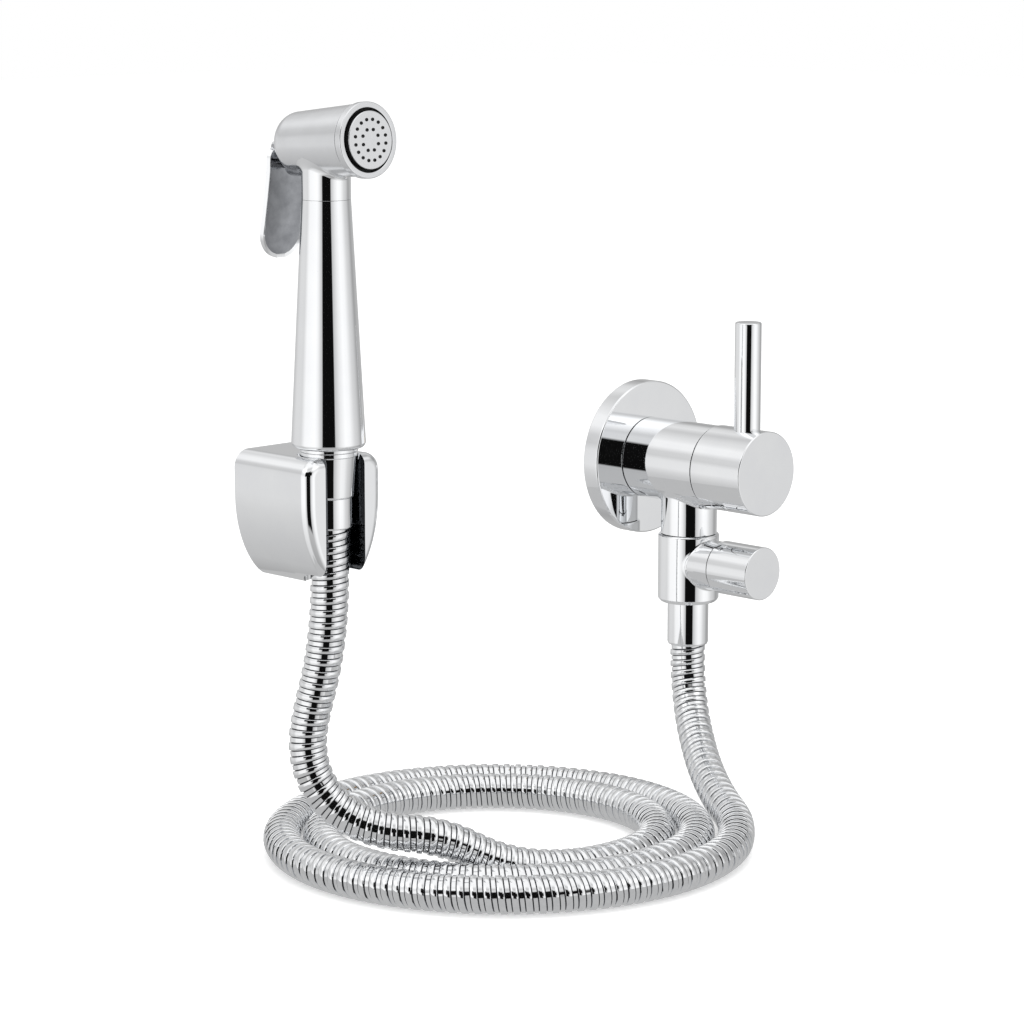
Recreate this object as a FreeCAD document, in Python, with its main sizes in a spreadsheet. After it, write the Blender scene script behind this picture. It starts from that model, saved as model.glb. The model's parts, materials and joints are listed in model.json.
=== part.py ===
"""Two-way bidet tap: a wall stop valve with a lever knob and a second small
stop knob below it, a ribbed metal hose laid in a coil, and a trigger hand
spray standing in its wall holder.

The frame: +Z up, the wall is the plane y = 0 and -Y points away from it.
The origin is the centre of the water inlet in the wall. Lengths are in mm.
"""
import FreeCAD, Part
import Sketcher
import math
import os
import re

from FreeCAD import Vector, Placement, Rotation

doc = FreeCAD.newDocument("bidet_tap")

SIZES = [
    # wall flange and inlet
    ("flange_diameter", 68), ("flange_thickness", 8.5), ("flange_wall", 1.6),
    ("flange_edge", 1.2), ("flange_seal_thickness", 1.5),
    ("inlet_thread", 20.9), ("inlet_bore", 13), ("inlet_reach", 14), ("inlet_grip", 9),
    ("inlet_relief", 0.8),
    # main valve body with its neck
    ("body_diameter", 36), ("body_end", 48.7), ("body_wall", 3.5),
    ("neck_station", 32.3), ("neck_diameter", 24.8), ("neck_drop", 31), ("neck_bore", 12),
    ("cartridge_depth", 23), ("thread_fit", 0.05), ("face_gap", 0.2),
    # headwork inside the body
    ("bush_nose_diameter", 18), ("bush_nose", 7), ("disc_diameter", 17.6),
    ("disc_thickness", 3), ("disc_port", 7), ("spindle_diameter", 10),
    ("spindle_reach", 13), ("oring_section", 1.8),
    # lever knob
    ("knob_diameter", 37), ("knob_length", 28), ("knob_edge", 0.8), ("knob_wall", 3.2),
    ("lever_diameter", 11.5), ("lever_station", 65.6), ("lever_top", 65),
    ("lever_edge", 0.8), ("lever_stud", 5),
    ("grub_diameter", 4), ("grub_length", 9),
    # stop valve under the neck
    ("stop_body_diameter", 27), ("stop_body_length", 30.7), ("stop_body_edge", 0.8),
    ("spigot_diameter", 19), ("spigot_length", 7), ("stop_bore", 10),
    ("stop_drop", 44), ("stub_diameter", 22), ("stub_reach", 20.2), ("stub_wall", 2.6),
    ("stop_bush_depth", 11), ("stop_nose_diameter", 12), ("stop_nose", 4),
    ("stop_spindle_diameter", 6), ("stop_spindle_reach", 9),
    ("stop_seal_diameter", 9), ("stop_seal_thickness", 2.5),
    ("stop_knob_diameter", 23.3), ("stop_knob_length", 22.8), ("stop_knob_wall", 2.4),
    ("stop_knob_edge", 0.6),
    # hose and its ends
    ("hose_diameter", 15.5), ("hose_groove", 1.1), ("hose_bore", 9),
    ("end_diameter", 18.2), ("end_length", 19.5), ("end_spigot_diameter", 14),
    ("end_spigot_length", 7), ("washer_thickness", 1.5), ("end_bore", 9),
    # hand spray, stacked up from the hose end
    ("spray_offset", 214.2), ("spray_reach", 34), ("spray_level", -1.2),
    ("ferrule_diameter", 17.6), ("ferrule_length", 12.4), ("ferrule_neck", 12.4),
    ("nut_low_diameter", 18), ("nut_top_diameter", 24), ("nut_length", 16.4),
    ("nut_collar", 2), ("nut_floor", 6.2), ("handle_gap", 1.2),
    ("handle_low_diameter", 30.1), ("handle_top_diameter", 19.3), ("handle_length", 97.4),
    ("handle_wall", 1.6), ("handle_edge", 2.4), ("handle_floor", 4),
    ("nipple_thread", 20.9), ("nipple_length", 7),
    ("water_tube_diameter", 9), ("water_tube_bore", 6.5),
    ("neck_tube_diameter", 19.3), ("neck_tube_wall", 2.4), ("bush_stand", 3),
    # spray head
    ("neck_length", 22.2), ("head_tilt", 4), ("head_back_diameter", 24),
    ("head_front_diameter", 28.3), ("head_back", 21.5), ("head_front", 21.4),
    ("head_dome", 7), ("head_wall", 1.8), ("head_rear_wall", 15),
    ("bezel_diameter", 29.4), ("bezel_length", 3.2), ("bezel_wall", 2.2),
    ("plate_diameter", 23.4), ("plate_thickness", 2.2), ("plate_proud", 0.5),
    ("outer_ring_radius", 8.1), ("outer_ring_count", 16),
    ("inner_ring_radius", 4.2), ("inner_ring_count", 8), ("jet_diameter", 1.1),
    ("gasket_thickness", 0.9), ("gasket_wall", 2),
    # trigger and its small valve
    ("plunger_drop", 9.6), ("plunger_diameter", 3.6), ("boss_diameter", 9),
    ("boss_short", 2), ("seat_back", 4.6), ("recess_front", 7), ("seal_travel", 2.36),
    ("seal_diameter", 6.8), ("seal_thickness", 1.6),
    ("trigger_width", 18.6), ("trigger_thickness", 2), ("trigger_gap", 2.7),
    ("trigger_flare", 5), ("trigger_length", 46), ("trigger_round", 7.8), ("pin_drop", 2.6),
    ("pin_diameter", 2), ("knuckle_diameter", 4.8), ("tongue_width", 6),
    # wall holder
    ("holder_width", 39.6), ("holder_depth", 43.6), ("holder_top", 28), ("holder_base", 20),
    ("holder_taper", 4.5), ("holder_top_round", 6), ("holder_base_round", 13),
    ("slot_width", 19), ("seat_gap", 0.3), ("plate_width", 24), ("plate_height", 30),
    ("wall_plate_thickness", 3), ("holder_pocket", 8), ("screw_hole", 4.5),
    ("screw_spacing", 16), ("holder_grub", 3),
    # coil: centre, spiral and level of the hose centreline on the floor
    ("coil_centre_x", -122.4), ("coil_centre_y", -36.8), ("floor_level", -143.1),
    ("coil_radius", 66.9), ("coil_pitch", 16.8), ("coil_oval", 0.965), ("coil_lie", -45),
]

sheet = doc.addObject("Spreadsheet::Sheet", "Sizes")
for row, (alias, number) in enumerate(SIZES, start=1):
    sheet.set("A%d" % row, alias)
    sheet.set("B%d" % row, str(number))
    sheet.setAlias("B%d" % row, alias)
doc.recompute()
ALIASES = {alias for alias, number in SIZES}


def formula(text):
    """The text with each size's alias written as a reference to the sheet."""
    text = str(text)
    return re.sub(r"[a-z_]+", lambda word: "Sizes." + word.group()
                  if word.group() in ALIASES else word.group(), text)


def value(text):
    """The number that a formula gives now, in mm."""
    result = sheet.evalExpression(formula(text))
    return float(getattr(result, "Value", result))


# directions that turned pieces are built along: their own +Z goes this way
UP = Rotation()
DOWN = Rotation(Vector(1, 0, 0), 180)
FROM_WALL = Rotation(Vector(1, 0, 0), 90)
TO_WALL = Rotation(Vector(1, 0, 0), -90)
ACROSS = Rotation(Vector(0, 1, 0), 90)
HEAD = Rotation(Vector(1, 0, 0), 90 - value("head_tilt"))


def spot(x=0, y=0, z=0):
    """A point given by three formulas."""
    return Vector(value(x), value(y), value(z))


ON_AXIS = ("0", "0", "0")
NECK = ("0", "-neck_station", "0")
STOP = ("0", "0", "-stop_drop")
SPRAY = ("-spray_offset", "-spray_reach", "spray_level")

# stations along the hand spray, from its hose end up
NUT = "ferrule_length"
LIP = "(ferrule_length + nut_floor)"
COLLAR = "(ferrule_length + nut_length)"
NUT_TOP = "(" + COLLAR + " + nut_collar)"
HANDLE = "(" + NUT_TOP + " + handle_gap)"
HANDLE_TOP = "(" + HANDLE + " + handle_length)"
HEAD_LEVEL = "(spray_level + " + HANDLE_TOP + " + neck_length)"
PIN_LEVEL = "(" + HEAD_LEVEL + " - pin_drop)"
PLUNGER = ("-spray_offset", "-spray_reach", HEAD_LEVEL + " - plunger_drop")
TRIGGER_BACK = "(head_back + trigger_gap)"


def place(piece, base, rotation):
    """Set a piece down: its base follows the sheet, its rotation is fixed."""
    piece.Placement = Placement(spot(*base), rotation)
    for axis, text in zip("xyz", base):
        piece.setExpression("Placement.Base." + axis, formula(text))


def closed_sketch(body, plane, outline):
    """A closed sketch of straight lines; every corner is tied to the sheet."""
    sketch = body.newObject("Sketcher::SketchObject", body.Name + "_sketch")
    origin = [f for f in body.Origin.OriginFeatures if f.Role == plane][0]
    sketch.AttachmentSupport = [(origin, "")]
    sketch.MapMode = "FlatFace"
    corners = [Vector(value(x), value(y), 0) for x, y in outline]
    count = len(corners)
    for i in range(count):
        sketch.addGeometry(Part.LineSegment(corners[i], corners[(i + 1) % count]), False)
    for i in range(count):
        sketch.addConstraint(Sketcher.Constraint("Coincident", i, 2, (i + 1) % count, 1))
    for i, (x, y) in enumerate(outline):
        for kind, text, number, axis in (("DistanceX", x, corners[i].x, -2),
                                         ("DistanceY", y, corners[i].y, -1)):
            if str(text) == "0":
                sketch.addConstraint(Sketcher.Constraint("PointOnObject", i, 1, axis))
            else:
                index = sketch.addConstraint(
                    Sketcher.Constraint(kind, -1, 1, i, 1, number))
                sketch.setExpression("Constraints[%d]" % index, formula(text))
    return sketch


def turned(label, outline, base=ON_AXIS, rotation=UP):
    """A turned piece: (radius, station) corners revolved about its own Z."""
    body = doc.addObject("PartDesign::Body", label)
    body.Label = label
    sketch = closed_sketch(body, "XZ_Plane", outline)
    turn = body.newObject("PartDesign::Revolution", label + "_turn")
    turn.Profile = sketch
    turn.ReferenceAxis = (sketch, ["V_Axis"])
    turn.Angle = 360
    body.Tip = turn
    place(body, base, rotation)
    return body


def padded(label, plane, outline, thickness, base=ON_AXIS, rotation=UP, midplane=False,
           backwards=False):
    """A plate or bar: a closed outline padded to a thickness."""
    body = doc.addObject("PartDesign::Body", label)
    body.Label = label
    sketch = closed_sketch(body, plane, outline)
    pad = body.newObject("PartDesign::Pad", label + "_pad")
    pad.Profile = sketch
    pad.Midplane = midplane
    pad.Reversed = backwards
    pad.Length = value(thickness)
    pad.setExpression("Length", formula(thickness))
    body.Tip = pad
    place(body, base, rotation)
    return body


def ring(label, inner, outer, start, end, base=ON_AXIS, rotation=UP):
    """A plain ring or bush: inner and outer radius between two stations."""
    return turned(label, [(inner, start), (outer, start), (outer, end), (inner, end)],
                  base, rotation)


def disc(label, radius, start, end, base=ON_AXIS, rotation=UP):
    """A solid disc or rod between two stations."""
    return turned(label, [("0", start), (radius, start), (radius, end), ("0", end)],
                  base, rotation)


def rod(name, radius, length, base, rotation=UP):
    """A helper cylinder for bores and pins, bound to the sheet."""
    piece = doc.addObject("Part::Cylinder", name)
    piece.setExpression("Radius", formula(radius))
    piece.setExpression("Height", formula(length))
    place(piece, base, rotation)
    return piece


def block(name, length, width, height, base, rotation=UP):
    """A helper box whose corner lies at its base."""
    piece = doc.addObject("Part::Box", name)
    piece.setExpression("Length", formula(length))
    piece.setExpression("Width", formula(width))
    piece.setExpression("Height", formula(height))
    place(piece, base, rotation)
    return piece


def fused(name, pieces):
    union = doc.addObject("Part::MultiFuse", name)
    union.Shapes = pieces
    union.Refine = True
    return union


def common(name, pieces):
    shared = doc.addObject("Part::MultiCommon", name)
    shared.Shapes = pieces
    shared.Refine = True
    return shared


def cut(label, body, tools):
    """The body with each tool taken away in turn."""
    for i, tool in enumerate(tools):
        last = i == len(tools) - 1
        result = doc.addObject("Part::Cut", label if last else "%s_cut_%d" % (label, i))
        result.Base = body
        result.Tool = tool
        body = result
    body.Refine = True
    body.Label = label
    return body


def rounded(label, source, radius, chooses):
    """The source with the chosen edges rounded to a radius."""
    doc.recompute()
    result = doc.addObject("Part::Fillet", label)
    result.Base = source
    size = value(radius)
    result.Edges = [(index, size, size) for index, edge in
                    enumerate(source.Shape.Edges, start=1) if chooses(edge)]
    return result


nodes = []


def node(piece, label=None):
    """Keep a finished sub-part under its node name."""
    if label:
        piece.Label = label
    nodes.append(piece)
    return piece


# wall flange, its seal and the inlet

def wall_fittings():
    node(turned("wall_flange", [
        ("inlet_thread / 2 + face_gap", "flange_thickness - flange_wall"),
        ("inlet_thread / 2 + face_gap", "flange_thickness"),
        ("flange_diameter / 2 - flange_edge", "flange_thickness"),
        ("flange_diameter / 2", "flange_thickness - flange_edge"),
        ("flange_diameter / 2", "0.01"),
        ("flange_diameter / 2 - flange_wall", "0.01"),
        ("flange_diameter / 2 - flange_wall", "flange_thickness - flange_wall"),
    ], ON_AXIS, FROM_WALL))
    node(ring("flange_seal", "flange_diameter / 2 - flange_wall - 5",
              "flange_diameter / 2 - flange_wall - face_gap",
              "flange_thickness - flange_wall - flange_seal_thickness",
              "flange_thickness - flange_wall", ON_AXIS, FROM_WALL))
    relief = "inlet_thread / 2 - inlet_relief"
    end = "inlet_reach + flange_thickness + inlet_grip"
    node(turned("inlet_nipple", [
        ("inlet_bore / 2", "0"),
        ("inlet_thread / 2", "0"),
        ("inlet_thread / 2", "inlet_reach"),
        (relief, "inlet_reach"),
        (relief, "inlet_reach + flange_thickness - flange_wall"),
        ("inlet_thread / 2", "inlet_reach + flange_thickness - flange_wall"),
        ("inlet_thread / 2", end),
        ("inlet_bore / 2", end),
    ], ("0", "inlet_reach", "0"), FROM_WALL))


# main valve body and the headwork in it

CHAMBER = "(body_end - cartridge_depth)"
BUSH_RADIUS = "(body_diameter / 2 - body_wall)"


def valve_body():
    barrel = turned("body_barrel", [
        ("inlet_thread / 2 + thread_fit", "flange_thickness"),
        ("body_diameter / 2", "flange_thickness"),
        ("body_diameter / 2", "body_end"),
        (BUSH_RADIUS, "body_end"),
        (BUSH_RADIUS, CHAMBER),
        ("inlet_bore / 2 + 1", CHAMBER),
        ("inlet_bore / 2 + 1", "flange_thickness + inlet_grip + 0.4"),
        ("inlet_thread / 2 + thread_fit", "flange_thickness + inlet_grip + 0.4"),
    ], ON_AXIS, FROM_WALL)
    neck = rod("body_neck", "neck_diameter / 2", "neck_drop - neck_bore / 2",
               ("0", "-neck_station", "-neck_drop"))
    hollow = rod("body_hollow", BUSH_RADIUS, "cartridge_depth + 1",
                 ("0", "-" + CHAMBER, "0"), FROM_WALL)
    port = rod("neck_port", "neck_bore / 2", "neck_drop + 1",
               ("0", "-neck_station", "-neck_drop - 1"))
    thread = rod("neck_thread", "spigot_diameter / 2 + thread_fit",
                 "spigot_length + oring_section + 1",
                 ("0", "-neck_station", "-neck_drop - 1"))
    node(cut("valve_body", fused("body_outside", [barrel, neck]), [hollow, port, thread]))


def headwork():
    bore = "spindle_diameter / 2 + thread_fit"
    inside = "disc_diameter / 2 + thread_fit"
    disc_end = "(" + CHAMBER + " + 2 * disc_thickness + 0.5)"
    flange_end = "(" + disc_end + " + 3)"
    groove = "(" + flange_end + " + 3)"
    bush = turned("bush_turned", [
        (inside, CHAMBER + " + face_gap"),
        (BUSH_RADIUS + " - thread_fit", CHAMBER + " + face_gap"),
        (BUSH_RADIUS + " - thread_fit", "body_end - 1"),
        ("bush_nose_diameter / 2", "body_end - 1"),
        ("bush_nose_diameter / 2", "body_end + bush_nose"),
        (bore, "body_end + bush_nose"),
        (bore, groove + " + oring_section"),
        (bore + " + oring_section", groove + " + oring_section"),
        (bore + " + oring_section", groove),
        (bore, groove),
        (bore, flange_end + " + 0.2"),
        (inside, flange_end + " + 0.2"),
    ], ON_AXIS, FROM_WALL)
    way = rod("bush_way", "neck_bore / 2 - 0.5", BUSH_RADIUS + " + 1",
              ("0", "-" + CHAMBER + " - 2 * disc_thickness", "-" + BUSH_RADIUS + " - 1"))
    node(cut("headwork_bush", bush, [way]))
    for label, start in (("fixed_ceramic_disc", CHAMBER + " + face_gap"),
                         ("turning_ceramic_disc", CHAMBER + " + face_gap + disc_thickness")):
        plate = disc(label + "_blank", "disc_diameter / 2", start,
                     start + " + disc_thickness", ON_AXIS, FROM_WALL)
        port = rod(label + "_port", "disc_port / 4", "disc_thickness + 2",
                   ("0", "-(" + start + ") + 1", "-disc_diameter / 4"), FROM_WALL)
        node(cut(label, plate, [port]))
    node(turned("headwork_spindle", [
        ("0", CHAMBER + " + face_gap + 2 * disc_thickness"),
        ("disc_diameter / 2", CHAMBER + " + face_gap + 2 * disc_thickness"),
        ("disc_diameter / 2", flange_end),
        ("spindle_diameter / 2", flange_end),
        ("spindle_diameter / 2", "body_end + spindle_reach"),
        ("0", "body_end + spindle_reach"),
    ], ON_AXIS, FROM_WALL))
    node(ring("spindle_oring", "spindle_diameter / 2 + 0.02",
              "spindle_diameter / 2 + oring_section - 0.02",
              groove + " + 0.1", groove + " + oring_section - 0.1", ON_AXIS, FROM_WALL))


def lever_knob():
    hub = "(body_end + bush_nose + 1)"
    end = "(body_end + face_gap + knob_length)"
    knob = turned("knob_turned", [
        ("spindle_diameter / 2 + thread_fit", hub),
        ("knob_diameter / 2 - knob_wall", hub),
        ("knob_diameter / 2 - knob_wall", "body_end + face_gap"),
        ("knob_diameter / 2", "body_end + face_gap"),
        ("knob_diameter / 2", end + " - knob_edge"),
        ("knob_diameter / 2 - knob_edge", end),
        ("0", end),
        ("0", "body_end + spindle_reach + 0.2"),
        ("spindle_diameter / 2 + thread_fit", "body_end + spindle_reach + 0.2"),
    ], ON_AXIS, FROM_WALL)
    grub_station = "(body_end + spindle_reach - grub_diameter / 2 - 0.6)"
    grub_hole = rod("knob_grub_hole", "grub_diameter / 2", "knob_diameter / 2 + 1",
                    ("0", "-" + grub_station, "0"), DOWN)
    stud_hole = rod("knob_stud_hole", "lever_stud / 2", "knob_diameter / 2 + 1",
                    ("0", "-lever_station", "knob_diameter / 2 - lever_stud * 1.4"))
    node(cut("lever_knob", knob, [grub_hole, stud_hole]))
    node(disc("knob_grub_screw", "grub_diameter / 2 - thread_fit",
              "spindle_diameter / 2 + thread_fit",
              "spindle_diameter / 2 + thread_fit + grub_length",
              ("0", "-" + grub_station, "0"), DOWN))
    top = turned("lever_turned", [
        ("0", "knob_diameter / 2 - 0.9"),
        ("lever_diameter / 2", "knob_diameter / 2 - 0.9"),
        ("lever_diameter / 2", "lever_top - lever_edge"),
        ("lever_diameter / 2 - lever_edge", "lever_top"),
        ("0", "lever_top"),
    ], ("0", "-lever_station", "0"), UP)
    saddle = rod("lever_saddle", "knob_diameter / 2", "lever_diameter * 2",
                 ("0", "-lever_station + lever_diameter", "0"), FROM_WALL)
    seated = cut("lever_seated", top, [saddle])
    stud = rod("lever_stud_rod", "lever_stud / 2 - thread_fit", "lever_stud * 1.4 + 1",
               ("0", "-lever_station", "knob_diameter / 2 - lever_stud * 1.4 + 0.2"))
    node(fused("lever_pin", [seated, stud]))


# stop valve that screws into the neck

def stop_valve():
    top = "neck_drop"
    bottom = "(neck_drop + stop_body_length)"
    outside = turned("stop_trunk", [
        ("0", top + " - spigot_length"),
        ("spigot_diameter / 2", top + " - spigot_length"),
        ("spigot_diameter / 2", top),
        ("stop_body_diameter / 2", top),
        ("stop_body_diameter / 2", bottom + " - stop_body_edge"),
        ("stop_body_diameter / 2 - stop_body_edge", bottom),
        ("0", bottom),
    ], NECK, DOWN)
    stub = rod("stop_stub", "stub_diameter / 2", "stub_reach",
               ("0", "-neck_station", "-stop_drop"), FROM_WALL)
    water = rod("stop_water", "stop_bore / 2", "spigot_length + stop_body_length + 2",
                ("0", "-neck_station", "-neck_drop + spigot_length + 1"), DOWN)
    hollow = rod("stub_hollow", "stub_diameter / 2 - stub_wall", "stop_bush_depth + 1",
                 ("0", "-neck_station - stub_reach + stop_bush_depth", "-stop_drop"),
                 FROM_WALL)
    socket = rod("end_socket", "end_spigot_diameter / 2 + thread_fit",
                 "end_spigot_length + washer_thickness + 1",
                 ("0", "-neck_station",
                  "-neck_drop - stop_body_length + end_spigot_length + washer_thickness"),
                 DOWN)
    way = rod("stub_way", "stop_seal_diameter / 2 + 0.5", "stub_reach",
              ("0", "-neck_station", "-stop_drop"), FROM_WALL)
    node(cut("stop_body", fused("stop_outside", [outside, stub]),
             [water, hollow, socket, way]))
    node(ring("neck_oring", "neck_bore / 2 + 0.1", "spigot_diameter / 2 - 0.05",
              top + " - spigot_length - oring_section", top + " - spigot_length - 0.02",
              NECK, DOWN))
    stub_end = "(neck_station + stub_reach)"
    bore = "stop_spindle_diameter / 2 + thread_fit"
    node(turned("stop_bush", [
        (bore, stub_end + " - stop_bush_depth"),
        ("stub_diameter / 2 - stub_wall - thread_fit", stub_end + " - stop_bush_depth"),
        ("stub_diameter / 2 - stub_wall - thread_fit", stub_end + " - 0.5"),
        ("stop_nose_diameter / 2", stub_end + " - 0.5"),
        ("stop_nose_diameter / 2", stub_end + " + stop_nose"),
        (bore, stub_end + " + stop_nose"),
    ], STOP, FROM_WALL))
    seal_end = "(neck_station + stop_seal_thickness)"
    node(turned("stop_spindle", [
        ("0", seal_end),
        ("stop_seal_diameter / 2", seal_end),
        ("stop_seal_diameter / 2", stub_end + " - stop_bush_depth - 0.3"),
        ("stop_spindle_diameter / 2", stub_end + " - stop_bush_depth - 0.3"),
        ("stop_spindle_diameter / 2", stub_end + " + stop_spindle_reach"),
        ("0", stub_end + " + stop_spindle_reach"),
    ], STOP, FROM_WALL))
    node(disc("stop_seal", "stop_seal_diameter / 2", "neck_station", seal_end,
              STOP, FROM_WALL))
    end = "(" + stub_end + " + face_gap + stop_knob_length)"
    hub = "(" + stub_end + " + stop_nose + 0.6)"
    node(turned("stop_knob", [
        (bore, hub),
        ("stop_knob_diameter / 2 - stop_knob_wall", hub),
        ("stop_knob_diameter / 2 - stop_knob_wall", stub_end + " + face_gap"),
        ("stop_knob_diameter / 2", stub_end + " + face_gap"),
        ("stop_knob_diameter / 2", end + " - stop_knob_edge"),
        ("stop_knob_diameter / 2 - stop_knob_edge", end),
        ("0", end),
        ("0", stub_end + " + stop_spindle_reach + 0.2"),
        (bore, stub_end + " + stop_spindle_reach + 0.2"),
    ], STOP, FROM_WALL))


def valve_hose_end():
    top = "(neck_drop + stop_body_length)"
    node(turned("hose_end_valve", [
        ("end_bore / 2", top + " - end_spigot_length"),
        ("end_spigot_diameter / 2", top + " - end_spigot_length"),
        ("end_spigot_diameter / 2", top + " + 0.01"),
        ("end_diameter / 2", top + " + 0.01"),
        ("end_diameter / 2", top + " + end_length"),
        ("end_bore / 2", top + " + end_length"),
    ], NECK, DOWN))
    node(ring("hose_washer_valve", "end_bore / 2 + 0.3", "end_spigot_diameter / 2 - 0.1",
              top + " - end_spigot_length - washer_thickness + 0.05",
              top + " - end_spigot_length", NECK, DOWN))


# hose end, cone nut, handle and head of the hand spray

def spray_hose_end():
    node(turned("hose_end_spray", [
        ("end_bore / 2", "0"),
        ("ferrule_diameter / 2", "0"),
        ("ferrule_diameter / 2", NUT + " - 0.05"),
        ("ferrule_neck / 2", NUT + " - 0.05"),
        ("ferrule_neck / 2", LIP + " + 0.1"),
        ("nut_low_diameter / 2 + 0.2", LIP + " + 0.1"),
        ("nut_low_diameter / 2 + 0.2", LIP + " + 2"),
        ("end_bore / 2", LIP + " + 2"),
    ], SPRAY, UP))
    node(ring("hose_washer_spray", "end_bore / 2 + 0.5", "nut_low_diameter / 2 + 0.2",
              LIP + " + 2.02", LIP + " + 2 + washer_thickness", SPRAY, UP))
    lip_bore = "nut_low_diameter / 2 + 0.5"
    node(turned("cone_nut", [
        ("ferrule_neck / 2 + thread_fit", NUT),
        ("nut_low_diameter / 2", NUT),
        ("nut_top_diameter / 2", COLLAR),
        ("nut_top_diameter / 2", NUT_TOP),
        ("nipple_thread / 2 + thread_fit", NUT_TOP),
        ("nipple_thread / 2 + thread_fit", NUT_TOP + " - nipple_length"),
        (lip_bore, NUT_TOP + " - nipple_length"),
        (lip_bore, LIP),
        ("ferrule_neck / 2 + thread_fit", LIP),
    ], SPRAY, UP))


def handle():
    drop = "(handle_low_diameter - handle_top_diameter) / 2 / handle_length"
    low = "handle_low_diameter / 2"
    inside_low = "(" + low + " - handle_wall - " + drop + " * handle_floor)"
    node(turned("handle_tube", [
        ("nipple_thread / 2 + thread_fit", HANDLE),
        (low + " - handle_edge", HANDLE),
        (low + " - handle_edge * 0.3", HANDLE + " + handle_edge * 0.3"),
        (low + " - " + drop + " * handle_edge", HANDLE + " + handle_edge"),
        ("handle_top_diameter / 2", HANDLE_TOP),
        ("handle_top_diameter / 2 - handle_wall", HANDLE_TOP),
        (inside_low, HANDLE + " + handle_floor"),
        ("nipple_thread / 2 + thread_fit", HANDLE + " + handle_floor"),
    ], SPRAY, UP))
    node(turned("handle_nipple", [
        ("water_tube_bore / 2", NUT_TOP + " - nipple_length + 0.3"),
        ("nipple_thread / 2", NUT_TOP + " - nipple_length + 0.3"),
        ("nipple_thread / 2", HANDLE + " + handle_floor + 0.02"),
        ("nipple_thread / 2 + 1", HANDLE + " + handle_floor + 0.02"),
        ("nipple_thread / 2 + 1", HANDLE + " + handle_floor + 3"),
        ("water_tube_diameter / 2 + thread_fit", HANDLE + " + handle_floor + 3"),
        ("water_tube_diameter / 2 + thread_fit", HANDLE),
        ("water_tube_bore / 2", HANDLE),
    ], SPRAY, UP))
    node(ring("water_tube", "water_tube_bore / 2", "water_tube_diameter / 2",
              HANDLE + " + 0.05", HANDLE_TOP + " + 2.4", SPRAY, UP))
    node(ring("neck_bush", "water_tube_diameter / 2 + thread_fit",
              "neck_tube_diameter / 2 - neck_tube_wall - thread_fit",
              HANDLE_TOP + " - 5", HANDLE_TOP + " + bush_stand", SPRAY, UP))


def spray_head():
    back = "head_back"
    blank = turned("head_turned", [
        ("0", "0"),
        ("head_back_diameter / 2", "0"),
        ("head_front_diameter / 2", "head_back + head_front"),
        ("0", "head_back + head_front"),
    ], ("-spray_offset", "-spray_reach + head_back * cos(head_tilt)",
        HEAD_LEVEL + " - head_back * sin(head_tilt)"), HEAD)
    radius = value("head_back_diameter / 2")
    dome = rounded("head_domed", blank, "head_dome",
                   lambda edge: edge.Curve.TypeId == "Part::GeomCircle"
                   and abs(edge.Curve.Radius - radius) < 0.01)
    neck = rod("head_neck", "neck_tube_diameter / 2", "neck_length - 0.15",
               ("-spray_offset", "-spray_reach", "spray_level + " + HANDLE_TOP + " + 0.15"))
    boss = rod("trigger_boss", "boss_diameter / 2", "head_back - boss_short",
               PLUNGER, TO_WALL)
    tongue = padded("hinge_tongue", "YZ_Plane", [
        ("head_back - 8", "-knuckle_diameter / 2"),
        (TRIGGER_BACK, "-knuckle_diameter / 2"),
        (TRIGGER_BACK + " + knuckle_diameter / 4", "-knuckle_diameter / 4"),
        (TRIGGER_BACK + " + knuckle_diameter / 4", "knuckle_diameter / 4"),
        (TRIGGER_BACK, "knuckle_diameter / 2"),
        ("head_back - 8", "knuckle_diameter / 2"),
    ], "tongue_width", ("-spray_offset", "-spray_reach", PIN_LEVEL), UP, midplane=True)
    pin = rod("pin_hole", "pin_diameter / 2 + thread_fit", "tongue_width + 2",
              ("-spray_offset - tongue_width / 2 - 1", "-spray_reach + " + TRIGGER_BACK,
               PIN_LEVEL), ACROSS)
    chamber = rod("head_chamber", "head_back_diameter / 2 - head_wall",
                  "head_rear_wall + head_front",
                  ("-spray_offset", "-spray_reach + (head_back - head_rear_wall) * cos(head_tilt)",
                   HEAD_LEVEL + " - (head_back - head_rear_wall) * sin(head_tilt)"), HEAD)
    way = rod("neck_way", "neck_tube_diameter / 2 - neck_tube_wall", "bush_stand + 2.2",
              ("-spray_offset", "-spray_reach", "spray_level + " + HANDLE_TOP + " - 1"))
    riser = rod("neck_riser", "water_tube_bore / 2", "neck_length - 2",
                ("-spray_offset", "-spray_reach", "spray_level + " + HANDLE_TOP + " - 1"))
    guide = rod("plunger_guide", "plunger_diameter / 2 + thread_fit", "head_back",
                ("-spray_offset", "-spray_reach + 1", PLUNGER[2]), TO_WALL)
    recess = rod("seal_recess", "seal_diameter / 2 + 0.4", "seat_back + recess_front",
                 ("-spray_offset", "-spray_reach - recess_front", PLUNGER[2]), TO_WALL)
    node(cut("spray_head_shell", fused("head_outside", [dome, neck, boss, tongue]),
             [pin, chamber, way, riser, guide, recess]))


def head_point(along):
    """The formulas of a point on the head's tilted axis, in front of the handle."""
    return ("-spray_offset", "-spray_reach - (" + along + ") * cos(head_tilt)",
            HEAD_LEVEL + " + (" + along + ") * sin(head_tilt)")


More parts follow.
